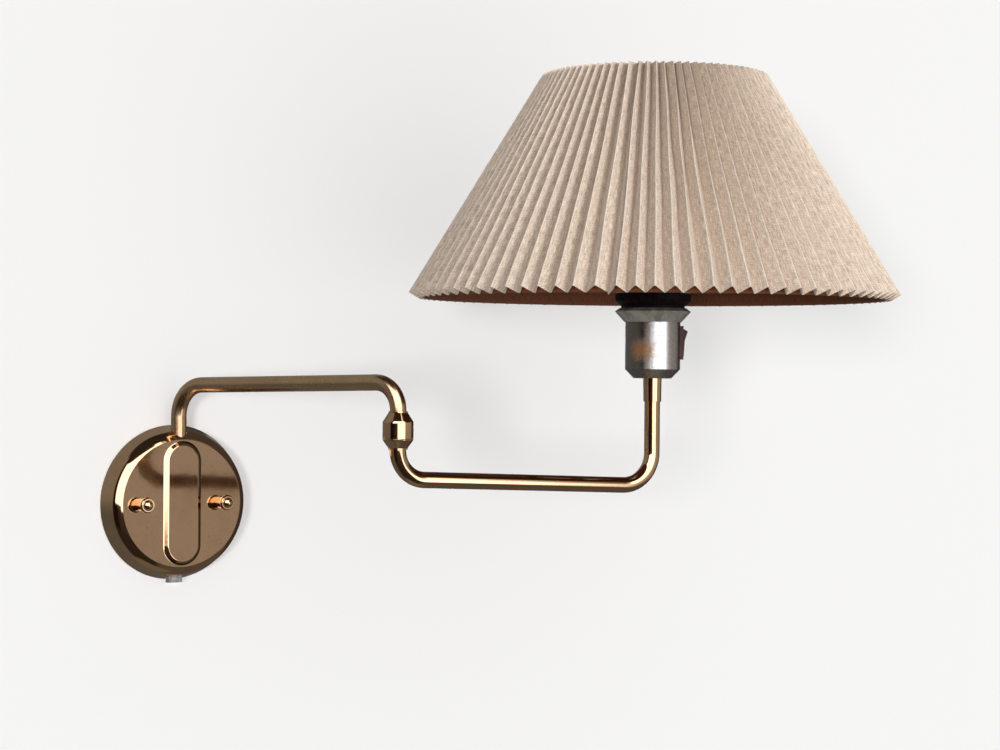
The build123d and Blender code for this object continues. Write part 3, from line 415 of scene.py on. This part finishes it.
def linen_colour(n):
    """Oatmeal linen: threads paler and browner by turns, with painted highlight along the ridges and painted shade in
    the valleys.

    A fold's place in its pleat is the fraction of its flat length over two faces; a ridge lies at one half.
    """
    slubs = n.noise(n.cloth(0.5, 0.03), 1.1, 2.0).rise(0.60, 0.72)
    clouds = n.noise(n.cloth(), 0.03, 2.0).rise(0.35, 0.7)
    pleats = n.axes(n.cloth())[0] / (2 * MILLIMETRES * FACE_WIDTH)
    from_ridge = (pleats.fraction() - 0.5).size()
    cloth = n.mix(linen_threads(n).rise(0.38, 0.62), THREAD_BROWN, THREAD_PALE)
    cloth = n.mix(slubs * 0.28, cloth, DARK_SLUB_AND_VALLEY_SHADE)
    cloth = n.mix(clouds * 0.25, cloth, LINEN_CLOUD)
    # painted shade: darker towards each valley
    cloth = n.mix(from_ridge.rise(0.38, 0.5) * 0.4, cloth, DARK_SLUB_AND_VALLEY_SHADE)
    # painted highlight: a pale thin line along each ridge
    return n.mix((1 - from_ridge.rise(0.015, 0.055)) * 0.5, cloth, LINEN_RIDGE_HIGHLIGHT)


def lining_threads(n):
    """An even fine weave: threads both ways."""
    return n.noise(n.cloth(1.0, 0.3), 2.2, 1.0) + n.noise(n.cloth(0.3, 1.0), 2.2, 1.0)


def lining_colour(n):
    """Brown lining cloth, darker between its threads."""
    return n.mix(lining_threads(n).rise(0.70, 1.30), LINING_DARK, LINING_PALE)


polished_brass = finish("polished_brass", toned_brass_colour, hand_polish, 1.0, polish_height, POLISH_RELIEF)
dish_brass = finish("dish_brass", dish_colour, hand_polish, 1.0, dish_height, POLISH_RELIEF)
nut_brass = finish("nut_brass", nut_colour, hand_polish, 1.0, polish_height, POLISH_RELIEF)
satin_brass = finish("satin_brass", toned_brass_colour, satin_polish, 1.0, polish_height, TUBE_RELIEF)
turned_brass = finish("turned_brass", turned_brass_colour, 0.24, 1.0, lathe_height, GRAIN_RELIEF)
nickel = finish("nickel", nickel_colour, nickel_roughness, nickel_metal, nickel_height, POLISH_RELIEF)
flange_nickel = finish("flange_nickel", flange_colour, flange_roughness, 0.72, nickel_height, POLISH_RELIEF)
zinc_steel = finish("zinc_steel", zinc_colour, zinc_roughness, 1.0, fine_grain, GRAIN_RELIEF)
white_wire = finish("white_wire", wire_colour, 0.42, 0.0, fine_grain, POLISH_RELIEF)
black_moulding = finish(
    "black_moulding", black_colour, 0.45, 0.0, fine_grain, GRAIN_RELIEF, Specular_IOR_Level=0.12
)
rocker_plastic = finish(
    "rocker_plastic", rocker_colour, 0.38, 0.0, fine_grain, GRAIN_RELIEF, Specular_IOR_Level=0.3
)
white_nylon = finish("white_nylon", nylon_colour, 0.5, 0.0, fine_grain, GRAIN_RELIEF)
milky_grommet = finish(
    "milky_grommet", milky_colour, 0.20, 0.0, fine_grain, GRAIN_RELIEF, Transmission_Weight=0.9, IOR=1.18
)
linen = finish(
    "linen", linen_colour, 0.92, 0.0, linen_threads, LINEN_RELIEF, Sheen_Weight=0.15, Sheen_Roughness=0.5
)
lining_cloth = finish("lining_cloth", lining_colour, 0.9, 0.0, lining_threads, LINING_RELIEF)

NODE_FINISHES = {
    polished_brass: ("lower_arm_tube", "knuckle_housing", "knuckle_spindle", "riser_sleeve"),
    dish_brass: ("wall_cover",),
    nut_brass: ("cap_nuts",),
    satin_brass: ("upper_arm_tube",),
    turned_brass: (
        "pivot_block", "pivot_spigot", "pivot_nut", "knuckle_ring_nut", "socket_nipple", "body_nut",
        "centre_contact", "lamp_terminals",
    ),
    nickel: ("socket_cap",),
    flange_nickel: ("socket_flange",),
    zinc_steel: (
        "wall_bracket", "bracket_studs", "pivot_block_screws", "terminal_screws", "earth_screw",
        "pivot_spring_washer", "knuckle_lock_ring", "socket_nut", "switch_terminals",
    ),
    white_wire: ("shade_fitter", "shade_legs", "shade_top_ring", "shade_bottom_ring"),
    black_moulding: ("shade_ring_upper",),
    rocker_plastic: ("switch_rocker", "switch_housing"),
    white_nylon: ("terminal_block", "pivot_washer", "knuckle_washer"),
    milky_grommet: ("cord_grommet",),
}


def dress(piece, material):
    """Give every slot of a piece one material."""
    if not piece.material_slots:
        piece.data.materials.append(material)
    for slot in piece.material_slots:
        slot.material = material


for material, names in NODE_FINISHES.items():
    for name in names:
        dress(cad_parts[name], material)


# Surfaces
def surface(name, points, material, cloth, crease):
    """A closed skin of quads over a grid of points: both the last row and the last column join the first.

    cloth holds flat coordinates for the grid with its closing row and column, or is None; an edge sharper than
    crease, in degrees, stays sharp.
    """
    rows, columns = points.shape[:2]
    here = np.arange(rows * columns).reshape(rows, columns)
    beside = np.roll(here, -1, axis=1)
    quads = np.stack([here, beside, np.roll(beside, -1, axis=0), np.roll(here, -1, axis=0)], axis=-1)
    mesh = bpy.data.meshes.new(name)
    mesh.vertices.add(rows * columns)
    mesh.vertices.foreach_set("co", points.astype(np.float32).ravel())
    mesh.loops.add(quads.size)
    mesh.loops.foreach_set("vertex_index", quads.astype(np.int32).ravel())
    mesh.polygons.add(rows * columns)
    mesh.polygons.foreach_set("loop_start", np.arange(0, quads.size, 4, dtype=np.int32))
    mesh.update(calc_edges=True)
    if cloth is not None:
        flat = np.stack([cloth[:-1, :-1], cloth[:-1, 1:], cloth[1:, 1:], cloth[1:, :-1]], axis=2)
        layer = mesh.uv_layers.new(name="cloth")
        layer.data.foreach_set("uv", flat.astype(np.float32).ravel())
    mesh.validate()
    work = bmesh.new()
    work.from_mesh(mesh)
    bmesh.ops.remove_doubles(work, verts=work.verts, dist=1e-7)
    bmesh.ops.dissolve_degenerate(work, edges=work.edges, dist=1e-8)
    bmesh.ops.recalc_face_normals(work, faces=work.faces)
    if work.calc_volume(signed=True) < 0:
        bmesh.ops.reverse_faces(work, faces=work.faces)
    work.to_mesh(mesh)
    work.free()
    mesh.polygons.foreach_set("use_smooth", np.ones(len(mesh.polygons), dtype=bool))
    mesh.set_sharp_from_angle(angle=radians(crease))
    piece = bpy.data.objects.new(name, mesh)
    bpy.context.scene.collection.objects.link(piece)
    dress(piece, material)
    return piece


def fit(piece, body, slot, *nodes):
    """Say what a piece rides on and which solids it stands for; the slot argument is not used."""
    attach(piece, body)
    if nodes:
        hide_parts(*nodes)


def about_riser(radius, angle, height):
    """Points at radii and angles about the riser's axis."""
    x, y = riser_x + radius * np.cos(angle), riser_y + radius * np.sin(angle)
    return np.stack(np.broadcast_arrays(x, y, height), axis=-1)


def corners(profile, steps):
    """A closed profile of (radius, height) corners, each side divided by its number of steps."""
    sides = []
    for start, end, count in zip(np.array(profile), np.roll(profile, -1, axis=0), steps):
        sides.append(start + (end - start) * np.arange(count)[:, None] / count)
    return np.concatenate(sides)


# Pleated linen
shade_low, shade_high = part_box("shade_cover")[0].z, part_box("shade_cover")[1].z
SHADE_RISE = shade_high - shade_low
PLEATS = 88
SEAM_SHARE = 1.3
SEAM_ANGLE = radians(-140.2)
PLEAT_PITCH = 2 * pi / (PLEATS - 1 + SEAM_SHARE)
RIDGE_LOW, VALLEY_LOW = 0.1911, 0.18055
RIDGE_HIGH, VALLEY_HIGH = 0.0868, 0.0741
RIDGE_RISE = 0.1726
CUT_SLOPE = (RIDGE_LOW - RIDGE_HIGH) / RIDGE_RISE
LINEN_INSET_LOW, LINEN_INSET_HIGH = 0.00092, 0.0021
FOLD_ROUNDING = 0.975
FOLD_PHASES = np.array([0.0, 0.03, 0.085, 0.25, 0.415, 0.47, 0.5, 0.53, 0.585, 0.75, 0.915, 0.97])
LINEN_ROWS = 27
LINEN_LENGTH = hypot(RIDGE_LOW - RIDGE_HIGH, RIDGE_RISE)
LINEN_CREASE = 60.0
WAVE_SIZES = np.array([0.00028, 0.0002, 0.00012])
WAVE_TURNS = 1.7
RIDGE_PLAY = 0.00018
LAP_LIFT, LAP_GAP, LAP_THICKNESS, LAP_HANG = 0.0003, 0.0003, 0.0005, 0.008
LAP_PHASES = np.array([-0.03, 0.0, 0.03, 0.085, 0.17, 0.25, 0.33, 0.40])

pleat = np.arange(PLEATS)
pitches = np.where(pleat == 0, SEAM_SHARE * PLEAT_PITCH, PLEAT_PITCH)
starts = SEAM_ANGLE - pitches[0] / 2 + np.concatenate([[0.0], np.cumsum(pitches)[:-1]])
draws = np.random.default_rng(17)
fold_waves = draws.normal(0.0, 1.0, (len(WAVE_SIZES), 2 * PLEATS)) * WAVE_SIZES[:, None]
fold_shifts = draws.uniform(0.0, 2 * pi, (len(WAVE_SIZES), 2 * PLEATS))
ridge_play = draws.normal(0.0, RIDGE_PLAY, 2 * PLEATS)


def fold_wander(share, fold):
    """Sideways wander of a fold line: a sum of three slow waves along its length, in metres."""
    turns = WAVE_TURNS * pi * np.arange(1, len(WAVE_SIZES) + 1)[:, None, None]
    return (fold_waves[:, None, fold] * np.sin(turns * share + fold_shifts[:, None, fold])).sum(axis=0)


def linen_points(share, pleats, phases):
    """Radius, angle and height of the folded cloth, for shares up the shade and phases of the pleats.

    The radius swings between valley and ridge as arcsin(k sin x) / arcsin(k), a zigzag with
    rounded folds; both ends of each line run straight from the lower outline to the upper one.
    """
    half = np.floor(2 * phases).astype(int)
    beside = 2 * phases - half
    fold = (2 * pleats + half) % (2 * PLEATS)
    following = (fold + 1) % (2 * PLEATS)
    swing = np.arcsin(FOLD_ROUNDING * np.sin(2 * pi * (phases - 0.25))) / asin(FOLD_ROUNDING)
    low = (RIDGE_LOW + VALLEY_LOW) / 2 + (RIDGE_LOW - VALLEY_LOW) / 2 * swing
    high = (RIDGE_HIGH + VALLEY_HIGH) / 2 + (RIDGE_HIGH - VALLEY_HIGH) / 2 * swing
    play = ridge_play[fold] * (1 - beside) + ridge_play[following] * beside
    cut = (low - VALLEY_LOW) * CUT_SLOPE / (SHADE_RISE + (low - high) * CUT_SLOPE)
    along = cut + (1 - cut) * share
    radius = low + (high - low) * along + play
    drift = fold_wander(along, fold) * (1 - beside) + fold_wander(along, following) * beside
    angle = starts[pleats] + pitches[pleats] * phases + drift / radius
    return radius, angle, shade_low + SHADE_RISE * along, along


def pleated_linen():
    """The folded cloth: up its outer face and down its inner face, joined at both hems."""
    share = np.linspace(0.0, 1.0, LINEN_ROWS)[:, None]
    pleats = np.repeat(pleat, len(FOLD_PHASES))
    phases = np.tile(FOLD_PHASES, PLEATS)
    radius, angle, height, along = linen_points(share, pleats, phases)
    inset = LINEN_INSET_LOW + (LINEN_INSET_HIGH - LINEN_INSET_LOW) * along
    outer = about_riser(radius, angle, height)
    inner = about_riser(radius - inset, angle, height)
    flat_u = 2 * FACE_WIDTH * (pleats + phases) * np.ones_like(along)
    flat_u = np.concatenate([flat_u, np.full((LINEN_ROWS, 1), 2 * FACE_WIDTH * PLEATS)], axis=1)
    flat_v = LINEN_LENGTH * np.concatenate([along, along[:, :1]], axis=1)
    face = np.stack([flat_u, flat_v], axis=-1)
    cloth = np.concatenate([face, face[::-1], face[:1]])
    return surface("pleated_linen", np.concatenate([outer, inner[::-1]]), linen, cloth, LINEN_CREASE)


def strip_skin(name, points, material, cloth):
    """A strip's skin: its cross-sections are closed rings, and its first and last rings shrink shut."""
    ends = [np.repeat(points[[end]].mean(axis=1, keepdims=True), points.shape[1], axis=1) for end in (0, -1)]
    rows = np.concatenate([ends[0], points, ends[1]])
    flat = np.concatenate([cloth[:1], cloth, cloth[-1:], cloth[-1:]])
    return surface(name, rows, material, flat, LINEN_CREASE)


def linen_lap():
    """The cloth's free end, laid over the face beside the seam pleat, with a little hanging below the hem.

    It stands off the face by a gap and half a sine wave of lift, widest halfway across the face.
    """
    share = np.linspace(-LAP_HANG, 1.0, LINEN_ROWS)[:, None]
    pleats = np.where(LAP_PHASES < 0, 0, 1)
    wrapped = np.where(LAP_PHASES < 0, 1 + LAP_PHASES / SEAM_SHARE, LAP_PHASES)
    radius, angle, height, along = linen_points(share, pleats, wrapped)
    lift = LAP_LIFT * np.sin(np.clip(2 * LAP_PHASES, 0, 1) * pi) + LAP_GAP
    outer = about_riser(radius + lift + LAP_THICKNESS, angle, height)
    inner = about_riser(radius + lift, angle, height)
    flat_u = 2 * FACE_WIDTH * LAP_PHASES * np.ones_like(along)
    face = np.stack([flat_u, LINEN_LENGTH * along], axis=-1)
    outer_row = np.concatenate([outer, inner[:, ::-1]], axis=1)
    face_row = np.concatenate([face, face[:, ::-1], face[:, :1]], axis=1)
    return strip_skin("linen_lap", outer_row, linen, face_row)


linen_shade = pleated_linen()
fit(linen_shade, "lower_arm", "linen", "shade_cover")
lap = linen_lap()
fit(lap, "lower_arm", "linen")

# Lining: a plain cone whose ends are rolled over the wire rings
LINING_LOW, LINING_HIGH = 0.17943, 0.07178
LINING_SLOPE = atan2(LINING_LOW - LINING_HIGH, SHADE_RISE)
LINING_WALL = 0.0006
LINING_COLUMNS, LINING_STEPS, ROLL_STEPS = 220, 14, 9
WIRE_RADIUS, WIRE_GAP = 0.00125, 0.00005
ROLL_SHRINK, HEM_DROP = 0.00015, 0.0007
HEM_RUN = np.array([[0.0022, 0.0013], [0.0045, -0.0001], [0.0080, -0.00075], [0.0083, -WIRE_RADIUS - WIRE_GAP]])


def lining_profile():
    """Radius and height round the lower wire, up the inner face, round the upper wire and down the outer face.

    A hem is half a circle about its wire that tightens as it turns, then a short run back along the cone:
    each point of HEM_RUN gives how far back along the slope and how far inward it lies from the wire.
    """
    down = np.array([sin(LINING_SLOPE), -cos(LINING_SLOPE)])
    inward = np.array([-cos(LINING_SLOPE), -sin(LINING_SLOPE)])
    seat = WIRE_RADIUS + WIRE_GAP
    loops = []
    for node, toward_end, drop_size in (("shade_bottom_ring", down, HEM_DROP), ("shade_top_ring", -down, 0.0)):
        low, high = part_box(node)
        wire_height = (low.z + high.z) / 2
        inside = LINING_LOW - LINING_WALL / cos(LINING_SLOPE) - (wire_height - shade_low) * tan(LINING_SLOPE)
        wire = np.array([inside - seat / cos(LINING_SLOPE), wire_height])
        roll = np.linspace(0.0, pi, ROLL_STEPS)[:, None]
        reach = seat + LINING_WALL - ROLL_SHRINK * roll / pi
        turn = -inward * np.cos(roll) + toward_end * np.sin(roll)
        hem = wire + reach * turn + drop_size * np.sin(roll) * toward_end
        run = wire - toward_end * HEM_RUN[:, :1] + inward * HEM_RUN[:, 1:]
        loops.append(np.concatenate([hem, run]))
    lower, upper = loops[0], loops[1][::-1]
    share = np.linspace(0.0, 1.0, LINING_STEPS)[1:-1, None]
    inner = lower[-1] + (upper[0] - lower[-1]) * share
    outer = upper[-1] + (lower[0] - upper[-1]) * share
    return np.concatenate([lower, inner, upper, outer])


def lining_cone():
    """The lining's profile turned round the riser; its flat coordinates are those of the unrolled cone."""
    profile = lining_profile()
    angle = 2 * pi * np.arange(LINING_COLUMNS + 1)[None, :] / LINING_COLUMNS
    points = about_riser(profile[:, :1], angle[:, :-1], profile[:, 1:])
    closed = np.concatenate([profile, profile[:1]])
    slant = closed[:, :1] / sin(LINING_SLOPE)
    spread = angle * sin(LINING_SLOPE)
    cloth = np.stack([slant * np.cos(spread), slant * np.sin(spread)], axis=-1)
    return surface("lining_cone", points, lining_cloth, cloth, LINEN_CREASE)


lining = lining_cone()
fit(lining, "lower_arm", "shade_lining", "shade_lining")

# Lampholder: rolled thread in the shell, cut thread on the moulded body, ribbed ring
SHELL_PITCH, SHELL_THREAD, SHELL_WALL = 0.00362, 0.0004, 0.0004
BODY_PITCH, BODY_THREAD, BODY_THREAD_FADE = 0.0025, 0.0005, 0.0012
RING_RIBS, RIB_DEPTH, RIB_FADE = 60, 0.00025, 0.0008
SHELL_COLUMNS, BODY_COLUMNS, RING_COLUMNS = 96, 120, 4 * RING_RIBS
SHELL_STEPS, BODY_STEPS, RING_STEPS = 72, 78, 14
TURNED_CREASE = 40.0
ON_FACE = 0.00001


def turned_piece(name, profile, columns, shift, material):
    """A closed profile turned round the riser; shift gives the radius's change by radius, angle and height."""
    angle = (2 * pi * np.arange(columns) / columns)[None, :]
    radius, height = profile[:, :1], profile[:, 1:]
    points = about_riser(radius + shift(radius, angle, height), angle, height)
    return surface(name, points, material, None, TURNED_CREASE)


def swell(value, low, high, soft):
    """1 well between low and high, falling smoothly to 0 at both."""
    rise = np.clip((value - low) / soft, 0, 1) * np.clip((high - value) / soft, 0, 1)
    return rise * rise * (3 - 2 * rise)


shell_low, shell_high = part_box("screw_shell")
SHELL_OUTER = (shell_high.x - shell_low.x) / 2
SHELL_INNER = SHELL_OUTER - SHELL_WALL
shell_profile = corners(
    [
        (SHELL_INNER, shell_low.z), (SHELL_OUTER, shell_low.z),
        (SHELL_OUTER, shell_high.z), (SHELL_INNER, shell_high.z),
    ],
    [1, SHELL_STEPS, 1, SHELL_STEPS],
)


def rolled_thread(radius, angle, height):
    """A cosine groove that climbs one pitch a turn, in both faces of the shell."""
    groove = 1 - np.cos(2 * pi * height / SHELL_PITCH - angle)
    return -SHELL_THREAD * swell(height, shell_low.z, shell_high.z, SHELL_PITCH) * groove


screw_thread = turned_piece("screw_thread", shell_profile, SHELL_COLUMNS, rolled_thread, turned_brass)
fit(screw_thread, "lower_arm", "turned_brass", "screw_shell")

body_low, body_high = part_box("socket_body")
BODY_RADIUS, BODY_EDGE = 0.0199, 0.00045
SPIGOT_RADIUS, SKIRT_WALL = 0.0173, 0.0017
WELL_RADIUS, SOCKET_BORE = 0.012, 0.01395
FLOOR_LOW, FLOOR_TOP, WELL_TOP = body_low.z + 0.0046, body_low.z + 0.0086, body_low.z + 0.0130
MOUTH_RADIUS, MOUTH_LOW = 0.0154, body_high.z - 0.006
FLANGE_TOP = 0.1546
THREAD_TOP = body_high.z - 0.0004
body_profile = corners(
    [
        (0.0, FLOOR_TOP), (WELL_RADIUS, FLOOR_TOP), (WELL_RADIUS, WELL_TOP), (SOCKET_BORE, WELL_TOP),
        (SOCKET_BORE, MOUTH_LOW), (MOUTH_RADIUS, MOUTH_LOW), (MOUTH_RADIUS, body_high.z - BODY_EDGE),
        (MOUTH_RADIUS + BODY_EDGE, body_high.z), (BODY_RADIUS - BODY_EDGE, body_high.z),
        (BODY_RADIUS, body_high.z - BODY_EDGE), (BODY_RADIUS, FLANGE_TOP), (SPIGOT_RADIUS, FLANGE_TOP),
        (SPIGOT_RADIUS, body_low.z), (SPIGOT_RADIUS - SKIRT_WALL, body_low.z),
        (SPIGOT_RADIUS - SKIRT_WALL, FLOOR_LOW), (0.0, FLOOR_LOW),
    ],
    9 * [1] + [BODY_STEPS] + 6 * [1],
)


def cut_thread(radius, angle, height):
    """A cosine groove that climbs one pitch a turn, in the body's outer face."""
    groove = 0.5 - 0.5 * np.cos(2 * pi * height / BODY_PITCH - angle)
    outside = radius > BODY_RADIUS - ON_FACE
    return -BODY_THREAD * outside * swell(height, FLANGE_TOP, THREAD_TOP, BODY_THREAD_FADE) * groove


moulded_body = turned_piece("moulded_body", body_profile, BODY_COLUMNS, cut_thread, black_moulding)
fit(moulded_body, "lower_arm", "black_moulding", "socket_body")

ring_box_low, ring_box_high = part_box("shade_ring_lower")
ring_bottom, ring_top = ring_box_low.z, ring_box_high.z
RING_RADIUS, RING_NECK, RING_BORE = 0.0291, 0.0246, 0.01995
RING_BEVEL, RING_EDGE = 0.0004, 0.0005
RING_NECK_TOP, RING_CONE_TOP = ring_bottom + 0.0016, ring_bottom + 0.0050
RIBS_LOW, RIBS_TOP = RING_CONE_TOP + RING_EDGE, ring_top - RING_EDGE
ring_profile = corners(
    [
        (RING_BORE, ring_bottom), (RING_NECK, ring_bottom), (RING_NECK, RING_NECK_TOP),
        (RING_RADIUS - RING_BEVEL, RING_CONE_TOP), (RING_RADIUS, RIBS_LOW),
        (RING_RADIUS, RIBS_TOP), (RING_RADIUS - RING_EDGE, ring_top), (RING_BORE, ring_top),
    ],
    4 * [1] + [RING_STEPS] + 3 * [1],
)


def ribs(radius, angle, height):
    """Upright cosine grooves round the ring's outer face."""
    groove = 0.5 - 0.5 * np.cos(RING_RIBS * angle)
    outside = radius > RING_RADIUS - ON_FACE
    return -RIB_DEPTH * outside * swell(height, RIBS_LOW, RIBS_TOP, RIB_FADE) * groove


ribbed_ring = turned_piece("ribbed_ring", ring_profile, RING_COLUMNS, ribs, black_moulding)
fit(ribbed_ring, "lower_arm", "black_moulding", "shade_ring_lower")

# Light: a pale room for the eye, soft light for dull surfaces, and a studio for the metal to mirror
PALE = (0.93, 0.93, 0.93)
SOFT_LEFT, SOFT_RIGHT = (0.19, 0.19, 0.195), (0.62, 0.615, 0.61)
WINDOW_WHITE, DOORWAY_GREY = (2.60, 2.60, 2.75), (0.34, 0.324, 0.33)
LEFT_WALL_LOW, LEFT_WALL_HIGH, LEFT_WALL_FADE = (0.115, 0.117, 0.12), (0.24, 0.24, 0.235), (-12.0, 14.0)
CARPET_LEFT, CARPET_BELOW = (0.125, 0.125, 0.13), (0.17, 0.16, 0.12)
CARPET_EDGE, CARPET_BELOW_EDGE = (-30.0, -22.0), (-74.0, -66.0)
CEILING, CEILING_EDGE = (0.03, 0.025, 0.022), (55.0, 62.0)
SHELF, SHELF_LEFT, SHELF_FOOT = (0.07, 0.06, 0.055), (59.0, 64.0), (12.0, 20.0)

# Each colour takes over between two bearings, from left to right of the camera, in degrees
WALLS = (
    (-60.0, -52.0, (0.013, 0.007, 0.007)),
    (-30.0, -8.0, (0.05, 0.035, 0.03)),
    (42.0, 47.0, (0.70, 0.66, 0.62)),
    (54.0, 80.0, (0.36, 0.34, 0.32)),
    (80.0, 118.0, (0.29, 0.275, 0.26)),
    (115.0, 126.0, (0.05, 0.04, 0.04)),
)
CARPETS = (
    (-60.0, -52.0, (0.03, 0.025, 0.022)),
    (42.0, 60.0, (0.105, 0.096, 0.095)),
)

# Panes of light: bearings and elevations of their sides, each with the softness of its edges, in degrees
PANEL = ((46.0, 57.0, 5.0), (-25.0, 60.0, 4.0))
DOORWAY = ((60.5, 71.0, 1.5), (-4.0, 7.0, 1.5))
WINDOW_LEFT, WINDOW_RIGHT, WINDOW_HEIGHTS = (-2.5, 4.5), (41.5, 48.5), (-3.5, 52.0, 2.0)
WINDOW_SLANT, SLANT_HEIGHTS = 38.0, (0.5, 5.0)


def bands(n, bearing, colour, spans):
    """A colour that gives way to each span's own, one after the other, from left to right."""
    for start, end, beyond in spans:
        colour = n.mix(bearing.rise(start, end), colour, beyond)
    return colour


def pane(bearing, elevation, sides):
    """1 within a pane's bearings and elevations."""
    return bearing.band(*sides[0]) * elevation.band(*sides[1])


def studio(n):
    """What the metal mirrors: a window, screens and dark gaps, by bearing and elevation in degrees.

    The bearing is the arctangent of a direction's shares to the camera's right and toward the camera, and
    the elevation is the arcsine of its height. The window reaches further left above its slant.
    """
    direction = n.node("ShaderNodeTexCoord", "Generated")
    aside, near = n.reach(direction, TO_RIGHT), n.reach(direction, TO_CAMERA)
    bearing = n.maths("ARCTAN2", aside, near) * (180 / pi)
    elevation = n.maths("ARCSINE", n.axes(direction)[2]) * (180 / pi)
    left_wall = n.mix(elevation.rise(*LEFT_WALL_FADE), LEFT_WALL_LOW, LEFT_WALL_HIGH)
    walls = bands(n, bearing, left_wall, WALLS)
    walls = n.mix(bearing.rise(*SHELF_LEFT) * elevation.rise(*SHELF_FOOT), walls, SHELF)
    carpet = bands(n, bearing, CARPET_LEFT, CARPETS)
    carpet = n.mix(1 - elevation.rise(*CARPET_BELOW_EDGE), carpet, CARPET_BELOW)
    room = n.mix(1 - elevation.rise(*CARPET_EDGE), walls, carpet)
    room = n.mix(elevation.rise(*CEILING_EDGE), room, CEILING)
    left_side = (bearing + elevation.rise(*SLANT_HEIGHTS) * WINDOW_SLANT).rise(*WINDOW_LEFT)
    window = left_side * (1 - bearing.rise(*WINDOW_RIGHT)) * elevation.band(*WINDOW_HEIGHTS)
    bright = n.maths("MINIMUM", window + pane(bearing, elevation, PANEL), 1.0)
    room = n.mix(bright, room, WINDOW_WHITE)
    return n.mix(pane(bearing, elevation, DOORWAY), room, DOORWAY_GREY)


def soft_light(n):
    """Even light for dull surfaces, dimmer from the left than from the right."""
    direction = n.node("ShaderNodeTexCoord", "Generated")
    return n.mix(n.reach(direction, TO_RIGHT).rise(-1.0, 1.0), SOFT_LEFT, SOFT_RIGHT)


world = bpy.data.worlds.new("world")
world.use_nodes = True
bpy.context.scene.world = world
room = Nodes(world.node_tree)
to_eye, through_glass, mirrored = (
    room.node("ShaderNodeLightPath", kind) for kind in ("Is Camera Ray", "Is Transmission Ray", "Is Glossy Ray")
)
light = room.mix(room.maths("MAXIMUM", to_eye, through_glass), soft_light(room), PALE)
light = room.mix(mirrored, light, studio(room))
background = room.node("ShaderNodeBackground", 0, {}, {"Color": light, "Strength": 1.0})
room.node("ShaderNodeOutputWorld", 0, {}, {"Surface": background})


def lamp(name, bearing, elevation, strength, softness, colour):
    """A broad soft light from a bearing left (-) or right (+) of the camera, in degrees."""
    data = bpy.data.lights.new(name, "SUN")
    data.energy, data.angle, data.color = strength, radians(softness), colour
    source = bpy.data.objects.new(name, data)
    turn, tilt = radians(bearing), radians(elevation)
    level = Vector(TO_CAMERA) * cos(turn) + Vector(TO_RIGHT) * sin(turn)
    toward = level * cos(tilt) + Vector((0.0, 0.0, sin(tilt)))
    source.rotation_mode = "QUATERNION"
    source.rotation_quaternion = toward.to_track_quat("Z", "Y")
    source.visible_glossy = False
    bpy.context.scene.collection.objects.link(source)
    return source


def lights_only(source, sheets, link_state):
    """Let a lamp light only the given sheets (INCLUDE) or everything but them (EXCLUDE)."""
    group = bpy.data.collections.new(source.name + "_sheets")
    for sheet in sheets:
        group.objects.link(sheet)
    source.light_linking.receiver_collection = group
    for entry in group.collection_objects:
        entry.light_linking.link_state = link_state


def stage_sheet(name, points, evenness):
    """A flat pale sheet behind or below the object, clear when looked at from its back."""
    mesh = bpy.data.meshes.new(name)
    mesh.from_pydata(points, [], [(0, 1, 2, 3)])
    sheet = bpy.data.objects.new(name, mesh)
    bpy.context.scene.collection.objects.link(sheet)
    material = bpy.data.materials.new(name)
    material.use_nodes = True
    n = Nodes(material.node_tree)
    lit = n.node("ShaderNodeBsdfDiffuse", 0, {}, {"Color": PALE})
    pale = n.node("ShaderNodeEmission", 0, {}, {"Color": PALE, "Strength": 1.0})
    clear = n.node("ShaderNodeBsdfTransparent")
    front = n.node("ShaderNodeMixShader", 0, {}, {0: evenness, 1: lit, 2: pale})
    behind = n.node("ShaderNodeNewGeometry", "Backfacing")
    both = n.node("ShaderNodeMixShader", 0, {}, {0: behind, 1: front, 2: clear})
    n.node("ShaderNodeOutputMaterial", 0, {}, {"Surface": both})
    mesh.materials.append(material)
    for kind in ("visible_diffuse", "visible_glossy", "visible_transmission", "visible_shadow"):
        setattr(sheet, kind, False)
    return sheet


WALL_EVENNESS, FLOOR_EVENNESS = 0.1, 0.6
REACH, WALL_Y, FLOOR_Z = 6.0, 0.0006, -0.45
wall_foot = [(-REACH, WALL_Y, FLOOR_Z), (REACH, WALL_Y, FLOOR_Z)]
wall_points = [*wall_foot, (REACH, WALL_Y, REACH), (-REACH, WALL_Y, REACH)]
floor_points = [(-REACH, -REACH, FLOOR_Z), (REACH, -REACH, FLOOR_Z), *reversed(wall_foot)]
stage = [
    stage_sheet("wall_backdrop", wall_points, WALL_EVENNESS),
    stage_sheet("floor", floor_points, FLOOR_EVENNESS),
]

# Lamps: a broad one from the right for the object, a small one beside the camera, an even one for the stage
WARM_WHITE, WHITE = (1.0, 0.99, 0.975), (1.0, 1.0, 1.0)
side_light = lamp("side_light", bearing=38.0, elevation=14.0, strength=1.75, softness=22.0, colour=WARM_WHITE)
lamp("front_light", bearing=-11.0, elevation=0.5, strength=1.20, softness=11.0, colour=WARM_WHITE)
stage_light = lamp("stage_light", bearing=33.7, elevation=45.0, strength=1.03, softness=10.0, colour=WHITE)
stage_light.data.use_shadow = False
lights_only(side_light, stage, "EXCLUDE")
lights_only(stage_light, stage, "INCLUDE")
